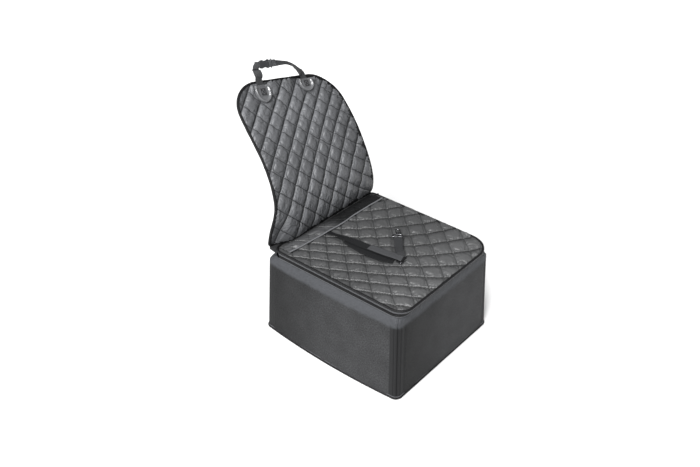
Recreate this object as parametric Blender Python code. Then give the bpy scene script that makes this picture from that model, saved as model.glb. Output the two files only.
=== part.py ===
# Soft dog car seat: a fabric box with a quilted lid to sit on and a quilted
# back protector that is strapped round a headrest.
# Metres, +Z up. The front of the box faces -Y, the back protector stands at +Y.
import math

import bmesh
import bpy
from mathutils import Vector

for old in list(bpy.data.objects):
    bpy.data.objects.remove(old, do_unlink=True)

# ---------------------------------------------------------------- dimensions
X_SHIFT, Y_SHIFT = 0.0034, -0.1111   # put the middle of the whole object over the origin

# fabric box
WALL_HX_BOTTOM, WALL_HX_SHOULDER, WALL_HX_RIM = 0.2590, 0.2555, 0.2475
WALL_YF_BOTTOM, WALL_YF_SHOULDER, WALL_YF_RIM = -0.2680, -0.2500, -0.2480
WALL_YR_BOTTOM, WALL_YR_SHOULDER, WALL_YR_RIM = 0.2940, 0.2860, 0.2700
SHOULDER_Z, RIM_Z = 0.2720, 0.2970
SIDE_BOW_BOTTOM, SIDE_BOW_SHOULDER = 0.0130, 0.0060
FRONT_LEFT_FLARE = 0.0055    # the bottom front left corner stands out this much
CORNER_R_BOTTOM, CORNER_R_SHOULDER, CORNER_R_RIM = 0.0220, 0.0260, 0.0360
FRONT_RIGHT_R_BOTTOM, FRONT_RIGHT_R_SHOULDER, FRONT_RIGHT_R_RIM = 0.0260, 0.0340, 0.0560
RIGHT_INSET = 0.0040         # the soft box sits a little to the left under the lid
COVER_T = 0.0020             # padded oxford cover
BOARD_T = 0.0040             # stiffener boards
WALL_START_Z = 0.0090
BOARD_Z0, BOARD_Z1 = 0.0120, 0.2680
LINING_T = 0.0010
BINDING_R = 0.0035

# lid
LID_HX, LID_YF, LID_YR = 0.2490, -0.2590, 0.2590
LID_R_FRONT, LID_R_FRONT_RIGHT, LID_R_REAR = 0.0450, 0.0800, 0.0300
LID_RIGHT_TAPER = 0.0060     # the lid narrows this much towards its right front corner
LID_EDGE_Z = 0.3220          # centre of the edge piping
LID_PIPING_R = 0.0032
PAD_EDGE_Z, PAD_CROWN = 0.3245, 0.0060

# zip between box and lid
TAPE_T = 0.0010
TAPE_REAR_END = 0.2350

# tether slot
FLAP_Y0, FLAP_Y1, FLAP_HX = 0.2020, 0.2240, 0.2300
TETHER_W, TETHER_T = 0.0300, 0.0016

# back protector
BACK_Y0, BACK_Z0, BACK_L = 0.2450, 0.3300, 0.5120
BACK_PIPING_R = 0.0030
PATCH_LEFT_X, PATCH_RIGHT_X, PATCH_TOP = -0.1095, 0.0955, 0.4990

# hinge axes
LID_AXIS = (0.0, 0.2660, 0.3060)
BACK_AXIS = (0.0, BACK_Y0, BACK_Z0)

# headrest strap
STRAP_W, STRAP_T = 0.0225, 0.0018


# ---------------------------------------------------------------- helpers
def material(name, colour, rough, metal=0.0):
    m = bpy.data.materials.new(name)
    m.use_nodes = True
    b = m.node_tree.nodes["Principled BSDF"]
    b.inputs["Base Color"].default_value = (*colour, 1.0)
    b.inputs["Roughness"].default_value = rough
    b.inputs["Metallic"].default_value = metal
    m.diffuse_color = (*colour, 1.0)
    return m


OXFORD = material("oxford_fabric", (0.035, 0.036, 0.038), 0.75)
QUILT = material("quilted_fabric", (0.055, 0.057, 0.060), 0.60)
LINING = material("lining_fabric", (0.045, 0.046, 0.048), 0.85)
PIPING = material("piping", (0.020, 0.020, 0.021), 0.60)
TAPE = material("zip_tape", (0.022, 0.022, 0.024), 0.70)
WEB = material("webbing", (0.030, 0.031, 0.033), 0.65)
WEB_LIGHT = material("webbing_loop", (0.110, 0.112, 0.115), 0.80)
BOARD = material("stiffener_board", (0.16, 0.15, 0.14), 0.70)
FOAM = material("foam", (0.30, 0.30, 0.31), 0.90)
BASE = material("non_slip_base", (0.020, 0.020, 0.020), 0.90)
RUBBER = material("anchor_rubber", (0.060, 0.061, 0.064), 0.25)
PLASTIC = material("buckle_plastic", (0.020, 0.021, 0.022), 0.40)
METAL = material("zip_metal", (0.10, 0.10, 0.11), 0.30, 1.0)
CHROME = material("snap_metal", (0.55, 0.55, 0.57), 0.20, 1.0)


def axis_empty(name, at, parent=None):
    e = bpy.data.objects.new(name, None)
    bpy.context.collection.objects.link(e)
    e.empty_display_size = 0.03
    e.location = Vector(at) + Vector((X_SHIFT, Y_SHIFT, 0.0))
    bpy.context.view_layer.update()
    if parent is not None:
        e.parent = parent
        e.matrix_parent_inverse = parent.matrix_world.inverted()
        bpy.context.view_layer.update()
    return e


def shifted(p):
    return Vector((p[0] + X_SHIFT, p[1] + Y_SHIFT, p[2]))


def solid(name, verts, faces, mat, parent=None, smooth=True, angle=35):
    me = bpy.data.meshes.new(name)
    me.from_pydata([shifted(v) for v in verts], [], faces)
    bm = bmesh.new()
    bm.from_mesh(me)
    bmesh.ops.recalc_face_normals(bm, faces=bm.faces)
    if bm.calc_volume(signed=True) < 0:
        bmesh.ops.reverse_faces(bm, faces=bm.faces)
    bm.to_mesh(me)
    bm.free()
    me.materials.append(mat)
    if smooth:
        me.shade_smooth()
        me.set_sharp_from_angle(angle=math.radians(angle))
    ob = bpy.data.objects.new(name, me)
    bpy.context.collection.objects.link(ob)
    if parent is not None:
        ob.parent = parent
        ob.matrix_parent_inverse = parent.matrix_world.inverted()
    return ob


def two_sided(name, outer, inner, mat, parent=None, closed_u=False):
    """A sheet with thickness: outer[j][i] and inner[j][i] are point grids."""
    nv, nu = len(outer), len(outer[0])
    verts = [p for row in outer for p in row] + [p for row in inner for p in row]
    off = nv * nu

    def k(j, i, side):
        return side * off + j * nu + (i % nu)

    faces = []
    cols = nu if closed_u else nu - 1
    for j in range(nv - 1):
        for i in range(cols):
            faces.append((k(j, i, 0), k(j, i + 1, 0), k(j + 1, i + 1, 0), k(j + 1, i, 0)))
            faces.append((k(j, i, 1), k(j + 1, i, 1), k(j + 1, i + 1, 1), k(j, i + 1, 1)))
    for i in range(cols):
        faces.append((k(0, i, 0), k(0, i, 1), k(0, i + 1, 1), k(0, i + 1, 0)))
        faces.append((k(nv - 1, i, 0), k(nv - 1, i + 1, 0), k(nv - 1, i + 1, 1), k(nv - 1, i, 1)))
    if not closed_u:
        for j in range(nv - 1):
            faces.append((k(j, 0, 0), k(j + 1, 0, 0), k(j + 1, 0, 1), k(j, 0, 1)))
            faces.append((k(j, nu - 1, 0), k(j, nu - 1, 1), k(j + 1, nu - 1, 1), k(j + 1, nu - 1, 0)))
    return solid(name, verts, faces, mat, parent)


def prism(name, ring_low, ring_high, mat, parent=None, smooth=True):
    """A plate between two rings of the same number of points."""
    n = len(ring_low)
    verts = list(ring_low) + list(ring_high)
    faces = [tuple(range(n - 1, -1, -1)), tuple(range(n, 2 * n))]
    faces += [(i, (i + 1) % n, n + (i + 1) % n, n + i) for i in range(n)]
    return solid(name, verts, faces, mat, parent, smooth)


def box(name, low, high, mat, parent=None):
    ring = [(low[0], low[1]), (high[0], low[1]), (high[0], high[1]), (low[0], high[1])]
    return prism(name, [(x, y, low[2]) for x, y in ring], [(x, y, high[2]) for x, y in ring], mat, parent, False)


def tube(name, pts, radius, mat, parent=None, cyclic=False, sides=8):
    """Round piping along pts, closed on itself or with flat ends."""
    pts = [Vector(p) for p in pts]
    n = len(pts)
    rows = []
    side = None
    for i, p in enumerate(pts):
        a = pts[(i - 1) % n] if cyclic or i else p
        b = pts[(i + 1) % n] if cyclic or i < n - 1 else p
        d = (b - a).normalized()
        ref = Vector((0.0, 0.0, 1.0)) if side is None and abs(d.z) < 0.9 else (side or Vector((0.0, 1.0, 0.0)))
        side = (ref - d * ref.dot(d)).normalized()
        other = d.cross(side)
        rows.append([p + (side * math.cos(2 * math.pi * k / sides) + other * math.sin(2 * math.pi * k / sides)) * radius
                     for k in range(sides)])
    verts = [v for r in rows for v in r]
    faces = []
    shift = 0
    if cyclic:
        # the last ring may have turned against the first one
        best = min(range(sides), key=lambda k: (rows[-1][k] - rows[0][0]).length)
        shift = best
    for i in range(n if cyclic else n - 1):
        j = (i + 1) % n
        s = 0 if j else shift
        for k in range(sides):
            if j:
                faces.append((i * sides + k, i * sides + (k + 1) % sides, j * sides + (k + 1) % sides, j * sides + k))
            else:
                faces.append((i * sides + (k + s) % sides, i * sides + (k + s + 1) % sides, (k + 1) % sides, k))
    if not cyclic:
        faces += [tuple(range(sides - 1, -1, -1)), tuple((n - 1) * sides + k for k in range(sides))]
    return solid(name, verts, faces, mat, parent, True, 60)


def smooth_path(ctrl, n):
    """A Catmull-Rom curve through the control points, n pieces a span."""
    pts = [Vector(c) for c in ctrl]
    pts = [pts[0] * 2 - pts[1]] + pts + [pts[-1] * 2 - pts[-2]]
    out = []
    for a, b, c, d in zip(pts[:-3], pts[1:-2], pts[2:-1], pts[3:]):
        for i in range(n):
            t = i / n
            out.append(0.5 * (2 * b + (c - a) * t + (2 * a - 5 * b + 4 * c - d) * t * t
                              + (3 * b - a - 3 * c + d) * t ** 3))
    out.append(pts[-2])
    return out


def ribbon(name, centre, wide, width, thick, mat, parent=None):
    """A flat web: rectangular section swept along centre, wide gives its width direction."""
    rows = []
    n = len(centre)
    for i, p in enumerate(centre):
        p = Vector(p)
        t = (Vector(centre[min(i + 1, n - 1)]) - Vector(centre[max(i - 1, 0)])).normalized()
        w = Vector(wide[i])
        w = (w - t * w.dot(t)).normalized()
        h = t.cross(w)
        wd = width[i] if isinstance(width, list) else width
        w, h = w * wd / 2, h * thick / 2
        rows.append([p - w - h, p + w - h, p + w + h, p - w + h])
    verts = [v for r in rows for v in r]
    faces = [(3, 2, 1, 0), tuple(4 * (n - 1) + k for k in range(4))]
    for i in range(n - 1):
        for k in range(4):
            a, b = 4 * i + k, 4 * i + (k + 1) % 4
            faces.append((a, b, b + 4, a + 4))
    return solid(name, verts, faces, mat, parent, True, 40)


def lerp(a, b, t):
    return a + (b - a) * t


# ---------------------------------------------------------------- box shape
def wall_at(z):
    """Outline of the wall's outer face at z: left, right, front, rear, corner radii and side bow."""
    if z <= SHOULDER_Z:
        q = z / SHOULDER_Z
        hx, yf = lerp(WALL_HX_BOTTOM, WALL_HX_SHOULDER, q), lerp(WALL_YF_BOTTOM, WALL_YF_SHOULDER, q)
        yr, r = lerp(WALL_YR_BOTTOM, WALL_YR_SHOULDER, q), lerp(CORNER_R_BOTTOM, CORNER_R_SHOULDER, q)
        rfr = lerp(FRONT_RIGHT_R_BOTTOM, FRONT_RIGHT_R_SHOULDER, q)
        bow, inset, flare = lerp(SIDE_BOW_BOTTOM, SIDE_BOW_SHOULDER, q), RIGHT_INSET, FRONT_LEFT_FLARE * (1 - q)
    else:
        q = ((z - SHOULDER_Z) / (RIM_Z - SHOULDER_Z)) ** 2
        hx, yf = lerp(WALL_HX_SHOULDER, WALL_HX_RIM, q), lerp(WALL_YF_SHOULDER, WALL_YF_RIM, q)
        yr, r = lerp(WALL_YR_SHOULDER, WALL_YR_RIM, q), lerp(CORNER_R_SHOULDER, CORNER_R_RIM, q)
        rfr = lerp(FRONT_RIGHT_R_SHOULDER, FRONT_RIGHT_R_RIM, q)
        bow, inset, flare = SIDE_BOW_SHOULDER * (1 - q), RIGHT_INSET * (1 - q) + 0.002 * q, 0.0
    return {"flare": flare, "xl": -hx, "xr": hx - inset, "yf": yf, "yr": yr, "bow": bow,
            "r": {225: r, 315: rfr, 45: r, 135: r}}


def tape_at(z):
    """The zip's line: from the wall's rim up to the lid's edge."""
    t = (z - RIM_Z) / (0.3185 - RIM_Z)
    return {"flare": 0.0, "xl": -lerp(WALL_HX_RIM, LID_HX, t), "xr": lerp(WALL_HX_RIM - 0.002, LID_HX - LID_RIGHT_TAPER, t),
            "yf": lerp(WALL_YF_RIM, LID_YF, t), "yr": lerp(WALL_YR_RIM, LID_YR, t), "bow": 0.0,
            "r": {225: lerp(CORNER_R_RIM, LID_R_FRONT, t), 315: lerp(FRONT_RIGHT_R_RIM, LID_R_FRONT_RIGHT, t),
                  45: LID_R_REAR, 135: LID_R_REAR}}


SIDES = {"front": 270.0, "right": 0.0, "back": 90.0, "left": 180.0}


def corner(shape, a):
    r = shape["r"][a]
    x = shape["xl"] + r if a in (225, 135) else shape["xr"] - r
    y = shape["yf"] + r if a in (225, 315) else shape["yr"] - r
    if a == 225:
        x -= shape["flare"]
    return (x, y), r


def side_line(shape, side, d, straight=6, arc=3, seam=0.8):
    """Points along one side of a rounded rectangle, from mid corner to mid corner, d inside it."""
    mid = SIDES[side]

    def arc_pts(a, start, end):
        c, r = corner(shape, a)
        return [(c[0] + (r - d) * math.cos(math.radians(lerp(start, end, i / arc))),
                 c[1] + (r - d) * math.sin(math.radians(lerp(start, end, i / arc)))) for i in range(arc + 1)]

    first = arc_pts(int(mid - 45) % 360, mid - 45 + seam, mid)
    last = arc_pts(int(mid + 45) % 360, mid, mid + 45 - seam)
    out = list(first)
    for i in range(1, straight):
        t = i / straight
        p = [lerp(first[-1][0], last[0][0], t), lerp(first[-1][1], last[0][1], t)]
        if side in ("left", "right"):
            p[0] += (1 if side == "right" else -1) * shape["bow"] * (1 - (2 * t - 1) ** 2)
        out.append(tuple(p))
    return out + last


def ring(shape, d, straight=6, arc=3):
    """The whole closed outline, d inside it."""
    out = []
    for side in ("front", "right", "back", "left"):
        out += side_line(shape, side, d, straight, arc, 0.0)[:-1]
    return out


def lid_right(y):
    """Right edge of the lid at y."""
    return LID_HX - LID_RIGHT_TAPER * (LID_YR - y) / (LID_YR - LID_YF)


def lid_ring(d, arc=6, straight=1):
    """The lid's outline, d inside it, counter-clockwise from the front right corner."""
    corners = []
    for right, front, r, a in ((True, True, LID_R_FRONT_RIGHT, -90), (True, False, LID_R_REAR, 0),
                               (False, False, LID_R_REAR, 90), (False, True, LID_R_FRONT, 180)):
        cy = LID_YF + r if front else LID_YR - r
        cx = lid_right(cy) - r if right else -LID_HX + r
        corners.append([(cx + (r - d) * math.cos(math.radians(a + 90 * i / arc)),
                         cy + (r - d) * math.sin(math.radians(a + 90 * i / arc))) for i in range(arc + 1)])
    out = []
    for k, c in enumerate(corners):
        out += c
        nxt = corners[(k + 1) % 4][0]
        out += [(lerp(c[-1][0], nxt[0], i / straight), lerp(c[-1][1], nxt[1], i / straight)) for i in range(1, straight)]
    return out


def pad_top(x, y):
    """Height of the quilted seat's upper face."""
    u, v = abs(x) / LID_HX, abs(y) / LID_YR
    return PAD_EDGE_Z + PAD_CROWN * max(0.0, 1 - u ** 4) * max(0.0, 1 - v ** 4)


# ---------------------------------------------------------------- bodies' axes
lid_axis = axis_empty("axis_lid", LID_AXIS)
back_axis = axis_empty("axis_backrest", BACK_AXIS, lid_axis)

# ---------------------------------------------------------------- the box
COVER_Z = [0.0090, 0.06, 0.12, 0.18, 0.23, 0.272, 0.2800, 0.2870, 0.2925, 0.2970]
for side in SIDES:
    outer = [[(x, y, z) for x, y in side_line(wall_at(z), side, 0.0)] for z in COVER_Z]
    inner = [[(x, y, z) for x, y in side_line(wall_at(z), side, COVER_T)] for z in COVER_Z]
    two_sided("wall_cover_" + side, outer, inner, OXFORD)

for side in SIDES:
    zs = [BOARD_Z0, 0.09, 0.18, BOARD_Z1]
    grids = []
    for d in (COVER_T + 0.0005, COVER_T + 0.0005 + BOARD_T):
        g = []
        for z in zs:
            line = side_line(wall_at(z), side, d, 6, 1, 0.0)[1:-1]
            a, b = line[0], line[-1]
            # the board stops short of the rounded corner
            ux, uy = b[0] - a[0], b[1] - a[1]
            n = math.hypot(ux, uy)
            ux, uy = ux / n * 0.006, uy / n * 0.006
            line[0] = (a[0] + ux, a[1] + uy)
            line[-1] = (b[0] - ux, b[1] - uy)
            g.append([(x, y, z) for x, y in line])
        grids.append(g)
    two_sided("stiffener_board_" + side, grids[0], grids[1], BOARD)

for name, mid in (("front_left", 225), ("front_right", 315), ("rear_right", 45), ("rear_left", 135)):
    grids = []
    for d in (COVER_T + 0.0004, COVER_T + 0.0014):
        g = []
        for z in (0.0120, 0.10, 0.19, BOARD_Z1):
            (cx, cy), r = corner(wall_at(z), mid)
            g.append([(cx + (r - d) * math.cos(math.radians(mid + a)),
                       cy + (r - d) * math.sin(math.radians(mid + a)), z) for a in (-32, -16, 0, 16, 32)])
        grids.append(g)
    two_sided("corner_seam_tape_" + name, grids[0], grids[1], TAPE)

# open lining bag inside the boards
LINING_D = 0.0080
levels = [0.0096, 0.09, 0.18, BOARD_Z1]
bag_out = [ring(wall_at(0.0086), LINING_D, 6, 3)] + [ring(wall_at(z), LINING_D, 6, 3) for z in levels[1:]]
bag_in = [ring(wall_at(0.0086), LINING_D + LINING_T, 6, 3)] + [ring(wall_at(z), LINING_D + LINING_T, 6, 3) for z in levels[1:]]
n = len(bag_out[0])
verts, faces = [], []
out_z = [0.0086] + levels[1:]
in_z = [0.0096] + levels[1:]
for rg, zs in ((bag_out, out_z), (bag_in, in_z)):
    for line, z in zip(rg, zs):
        verts += [(x, y, z) for x, y in line]
m = len(levels)
for j in range(m - 1):
    for i in range(n):
        a, b = j * n + i, j * n + (i + 1) % n
        faces.append((a, b, b + n, a + n))
        a, b = a + m * n, b + m * n
        faces.append((a, a + n, b + n, b))
faces.append(tuple(range(n - 1, -1, -1)))
faces.append(tuple(m * n + i for i in range(n)))
for i in range(n):
    a, b = (m - 1) * n + i, (m - 1) * n + (i + 1) % n
    faces.append((a, b, b + m * n, a + m * n))
solid("lining_bag", verts, faces, LINING)

bottom = wall_at(0.0)
prism("base_panel", [(x, y, 0.0) for x, y in ring(bottom, 0.0045)],
      [(x, y, 0.0030) for x, y in ring(bottom, 0.0045)], BASE)
prism("floor_board", [(x, y, 0.0034) for x, y in ring(bottom, 0.0055)],
      [(x, y, 0.0082) for x, y in ring(bottom, 0.0055)], BOARD)
tube("base_binding", [(x, y, 0.0045) for x, y in ring(bottom, -0.0001, 6, 3)], BINDING_R, PIPING, None, True)


# zip tapes run round the front and both sides
def u_line(z, d, straight=6, arc=6):
    shape = tape_at(z)
    (lx, ly), lr = corner(shape, 225)
    (rx, ry), rr = corner(shape, 315)
    left = [(lx + (lr - d) * math.cos(math.radians(180 + 90 * i / arc)),
             ly + (lr - d) * math.sin(math.radians(180 + 90 * i / arc))) for i in range(arc + 1)]
    right = [(rx + (rr - d) * math.cos(math.radians(270 + 90 * i / arc)),
              ry + (rr - d) * math.sin(math.radians(270 + 90 * i / arc))) for i in range(arc + 1)]
    end_l = (shape["xl"] + d, TAPE_REAR_END)
    end_r = (lerp(right[-1][0], lerp(WALL_HX_RIM, LID_HX, (z - RIM_Z) / 0.0215) - d, 0.98), TAPE_REAR_END)
    pts = [(lerp(end_l[0], left[0][0], i / straight), lerp(end_l[1], left[0][1], i / straight)) for i in range(straight)]
    pts += left
    pts += [(lerp(left[-1][0], right[0][0], i / straight), lerp(left[-1][1], right[0][1], i / straight)) for i in range(1, straight)]
    pts += right
    pts += [(lerp(right[-1][0], end_r[0], i / straight), lerp(right[-1][1], end_r[1], i / straight)) for i in range(1, straight + 1)]
    return pts


for name, z0, z1, parent in (("zip_tape_lower", 0.2974, 0.3074, None), ("zip_tape_upper", 0.3082, 0.3182, lid_axis)):
    outer = [[(x, y, z) for x, y in u_line(z, 0.0)] for z in (z0, z1)]
    inner = [[(x, y, z) for x, y in u_line(z, TAPE_T)] for z in (z0, z1)]
    two_sided(name, outer, inner, TAPE, parent)

# fabric hinge at the rear, sewn to the wall's rim, just under the lid's axis
hinge = [(0.2694, 0.2974), (0.2684, 0.2974), (0.2650, 0.3032), (0.2660, 0.3036)]
hinge_verts = [(sx * 0.222, y, z) for sx in (-1, 1) for y, z in hinge]
solid("hinge_tape", hinge_verts, [(3, 2, 1, 0), (4, 5, 6, 7), (0, 1, 5, 4), (1, 2, 6, 5), (2, 3, 7, 6), (3, 0, 4, 7)],
      TAPE, None, False)

# ---------------------------------------------------------------- zip slider
SL_Y = 0.2260
slider_axis = axis_empty("axis_zip_slider", (0.2505, SL_Y, 0.3080))
sv = []
for x, grow in ((0.2497, 0.0), (0.2515, 0.0), (0.2524, -0.0012)):
    for y, z in ((-0.0055, -0.0028), (-0.0030, -0.0048), (0.0040, -0.0048), (0.0060, -0.0020),
                 (0.0060, 0.0020), (0.0040, 0.0048), (-0.0030, 0.0048), (-0.0055, 0.0028)):
        s = 1 + grow / 0.006
        sv.append((x, SL_Y + y * s, 0.3080 + z * s))
sf = [tuple(range(7, -1, -1)), tuple(range(16, 24))]
for k in range(2):
    for i in range(8):
        sf.append((8 * k + i, 8 * k + (i + 1) % 8, 8 * (k + 1) + (i + 1) % 8, 8 * (k + 1) + i))
body = solid("zip_slider_body", sv, sf, METAL, slider_axis)
# the bail is an arch over the slider's face: cut as a bridge from the same body
bail = box("bail_guide", (0.2522, SL_Y - 0.0040, 0.3072), (0.2550, SL_Y + 0.0040, 0.3088), METAL, slider_axis)
gap = box("bail_gap", (0.2526, SL_Y - 0.0026, 0.3060), (0.2540, SL_Y + 0.0026, 0.3100), METAL, slider_axis)
for tool in (bail, gap):
    tool.hide_render = True
    tool.display_type = "WIRE"
md = body.modifiers.new("bail", "BOOLEAN")
md.operation = "UNION"
md.object = bail
md = body.modifiers.new("bail_gap", "BOOLEAN")
md.operation = "DIFFERENCE"
md.object = gap
pull_axis = axis_empty("axis_zip_pull", (0.2545, SL_Y, 0.3080), slider_axis)
# pull tab: an eye that clips round the bail, then a flat tab standing up
PX0, PX1 = 0.2545 - 0.0012, 0.2545 + 0.0012
tab = []
for y, z in ((-0.0020, 0.0046), (0.0020, 0.0046), (0.0020, 0.0080), (0.0034, 0.0100), (0.0034, 0.0176),
             (0.0022, 0.0195), (-0.0022, 0.0195), (-0.0034, 0.0176), (-0.0034, 0.0100), (-0.0020, 0.0080)):
    tab.append((y, z))
lo = [(0.2556, SL_Y + y, 0.3080 + z - 0.0035) for y, z in tab]
hi = [(0.2569, SL_Y + y, 0.3080 + z - 0.0035) for y, z in tab]
prism("zip_pull_tab", lo, hi, METAL, pull_axis)

# ---------------------------------------------------------------- the lid
prism("lid_lining", [(x, y, 0.3080) for x, y in lid_ring(0.0105)],
      [(x, y, 0.3088) for x, y in lid_ring(0.0105)], LINING, lid_axis)
prism("lid_board", [(x, y, 0.3092) for x, y in lid_ring(0.0095)],
      [(x, y, 0.3132) for x, y in lid_ring(0.0095)], BOARD, lid_axis)
prism("seat_foam", [(x, y, 0.3136) for x, y in lid_ring(0.0042)],
      [(x, y, 0.3194) for x, y in lid_ring(0.0042)], FOAM, lid_axis)
tube("lid_piping", [(x, y, LID_EDGE_Z) for x, y in lid_ring(0.0, 6, 4)], LID_PIPING_R, PIPING, lid_axis, True)

# quilted seat: rings shrink towards the middle and rise with the crown
RINGS = [0.0037, 0.0100, 0.0190, 0.0320, 0.0500, 0.0750, 0.1100, 0.1550, 0.2050]
PAD_EDGE = lid_ring(0.0037, 6, 5)


def shrunk(d):
    k = d - 0.0037
    return [(x * (1 - k / LID_HX), y * (1 - k / LID_YR)) for x, y in PAD_EDGE]


verts = [(x, y, 0.3198) for x, y in PAD_EDGE]
n = len(verts)
for d in RINGS:
    verts += [(x, y, pad_top(x, y)) for x, y in shrunk(d)]
verts.append((0.0, 0.0, pad_top(0.0, 0.0)))
faces = [tuple(range(n - 1, -1, -1))]
for k in range(len(RINGS)):
    for i in range(n):
        faces.append((k * n + i, k * n + (i + 1) % n, (k + 1) * n + (i + 1) % n, (k + 1) * n + i))
faces += [(len(RINGS) * n + i, len(RINGS) * n + (i + 1) % n, len(verts) - 1) for i in range(n)]
solid("seat_cover", verts, faces, QUILT, lid_axis)

# piped flap over the tether slot, notched underneath where the web comes out
FX = [-FLAP_HX, -0.15, -0.0850, -0.0848, -0.0450, -0.0448, 0.05, 0.15, FLAP_HX]
low, high = [], []
for x in FX:
    notch = 0.0028 if -0.0849 < x < -0.0449 else 0.0008
    low.append([(x, y, pad_top(x, y) + notch) for y in (FLAP_Y0, FLAP_Y1)])
    high.append([(x, y, pad_top(x, y) + 0.0046) for y in (FLAP_Y0, FLAP_Y1)])
two_sided("slot_flap", high, low, QUILT, lid_axis)
tube("slot_flap_piping", [(x, FLAP_Y0 - 0.0027, pad_top(x, FLAP_Y0) + (0.0052 if abs(x + 0.065) < 0.021 else 0.0050))
                               for x in (-0.228, -0.15, -0.09, -0.084, -0.065, -0.046, -0.04, 0.05, 0.15, 0.228)],
     0.0021, PIPING, lid_axis)


# ---------------------------------------------------------------- tether
def on_pad(points, lift):
    return [(x, y, pad_top(x, y) + z + lift) for x, y, z in points]


main = smooth_path([(-0.0650, 0.2160, 0.0013), (-0.0645, 0.1950, 0.0014), (-0.0620, 0.1600, 0.0024), (-0.0590, 0.1250, 0.0040),
                    (-0.0570, 0.0900, 0.0046), (-0.0540, 0.0500, 0.0046), (-0.0500, 0.0050, 0.0046),
                    (-0.0450, -0.0400, 0.0046), (-0.0413, -0.0780, 0.0042)], 2)
centre = on_pad(main, 0.0)
# gathered where it leaves the slot, then its full width
spread = [lerp(0.0190, TETHER_W, min(1.0, i / (len(main) - 1) / 0.32)) for i in range(len(main))]
ribbon("tether_web", centre, [(1.0, 0.0, 0.0)] * len(centre), spread, TETHER_T, WEB, lid_axis)
under = smooth_path([(-0.0640, 0.1080, 0.0016), (-0.0720, 0.0700, 0.0016), (-0.0760, 0.0300, 0.0016), (-0.0750, -0.0150, 0.0016),
                     (-0.0680, -0.0500, 0.0016), (-0.0560, -0.0790, 0.0016)], 2)
centre = on_pad(under, 0.0)
ribbon("tether_return", centre, [(1.0, 0.0, 0.0)] * len(centre), TETHER_W, TETHER_T, WEB, lid_axis)
tail = smooth_path([(-0.0500, 0.0230, 0.0076), (-0.0475, -0.0050, 0.0076), (-0.0440, -0.0400, 0.0078), (-0.0400, -0.0790, 0.0086)], 3)
centre = on_pad(tail, 0.0)
ribbon("tether_tail", centre, [(1.0, 0.0, 0.0)] * len(centre), TETHER_W - 0.001, 0.0022, WEB_LIGHT, lid_axis)

# three-bar adjuster at the web's fold
TG = (-0.0355, -0.0970)
tg_z = pad_top(*TG) + 0.0012
th = math.radians(-8)
tg_out = [(-0.019, -0.0125), (0.019, -0.0125), (0.019, 0.0125), (-0.019, 0.0125)]
tg = []
for z in (tg_z, tg_z + 0.0034):
    tg += [(TG[0] + x * math.cos(th) - y * math.sin(th), TG[1] + x * math.sin(th) + y * math.cos(th), z) for x, y in tg_out]
adj = solid("tether_adjuster", tg, [(3, 2, 1, 0), (4, 5, 6, 7), (0, 1, 5, 4), (1, 2, 6, 5), (2, 3, 7, 6), (3, 0, 4, 7)],
            METAL, lid_axis, False)
for k, (y0, y1) in enumerate(((-0.0095, -0.0020), (0.0020, 0.0095))):
    c = []
    for z in (tg_z - 0.002, tg_z + 0.006):
        c += [(TG[0] + x * math.cos(th) - y * math.sin(th), TG[1] + x * math.sin(th) + y * math.cos(th), z)
              for x, y in ((-0.0158, y0), (0.0158, y0), (0.0158, y1), (-0.0158, y1))]
    cut = solid("adjuster_slot_%d" % k, c, [(3, 2, 1, 0), (4, 5, 6, 7), (0, 1, 5, 4), (1, 2, 6, 5), (2, 3, 7, 6), (3, 0, 4, 7)],
                METAL, lid_axis, False)
    cut.hide_render = True
    cut.display_type = "WIRE"
    md = adj.modifiers.new("slot_%d" % k, "BOOLEAN")
    md.operation = "DIFFERENCE"
    md.object = cut

# swivel snap hook at the end of a short leg
HK = Vector((0.0470, -0.0170, 0.3465))          # where the eye's near bar is
HD = Vector((0.78, 0.63, 0.0)).normalized()     # along the hook
HS = Vector((-HD.y, HD.x, 0.0))                 # across it
HU = Vector((0.0, 0.0, 1.0))


def hk(a, b, c=0.0):
    p = HK + HD * a + HS * b + HU * c
    return (p.x, p.y, p.z)


leg0 = Vector((TG[0] + 0.0170, TG[1] + 0.0200, 0.0))
leg_pts = smooth_path([(leg0.x, leg0.y, pad_top(leg0.x, leg0.y) + 0.0110), (0.0010, -0.0545, 0.3425), (0.0230, -0.0370, 0.3450),
                       tuple(HK - HD * 0.0026)], 3)
centre = [tuple(p) for p in leg_pts]
ribbon("tether_leg", centre, [tuple(HS)] * len(centre), TETHER_W - 0.002, TETHER_T, WEB, lid_axis)

EYE = [hk(0.0, -0.0165), hk(0.0, 0.0), hk(0.0, 0.0165), hk(0.0060, 0.0175), hk(0.0115, 0.0110), hk(0.0125, 0.0040), hk(0.0125, -0.0040), hk(0.0115, -0.0110), hk(0.0060, -0.0175)]
eye = tube("hook_eye", EYE, 0.0017, CHROME, lid_axis, True)
collar_lo = [hk(0.0118, 0.0046 * math.cos(math.radians(a)), 0.0046 * math.sin(math.radians(a))) for a in range(0, 360, 30)]
collar_hi = [hk(0.0165, 0.0046 * math.cos(math.radians(a)), 0.0046 * math.sin(math.radians(a))) for a in range(0, 360, 30)]
collar = prism("collar_guide", collar_lo, collar_hi, CHROME, lid_axis)
collar.hide_render = True
collar.display_type = "WIRE"
md = eye.modifiers.new("collar", "BOOLEAN")
md.operation = "UNION"
md.object = collar

hook_axis = axis_empty("axis_hook", hk(0.0170, 0.0), lid_axis)
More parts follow.
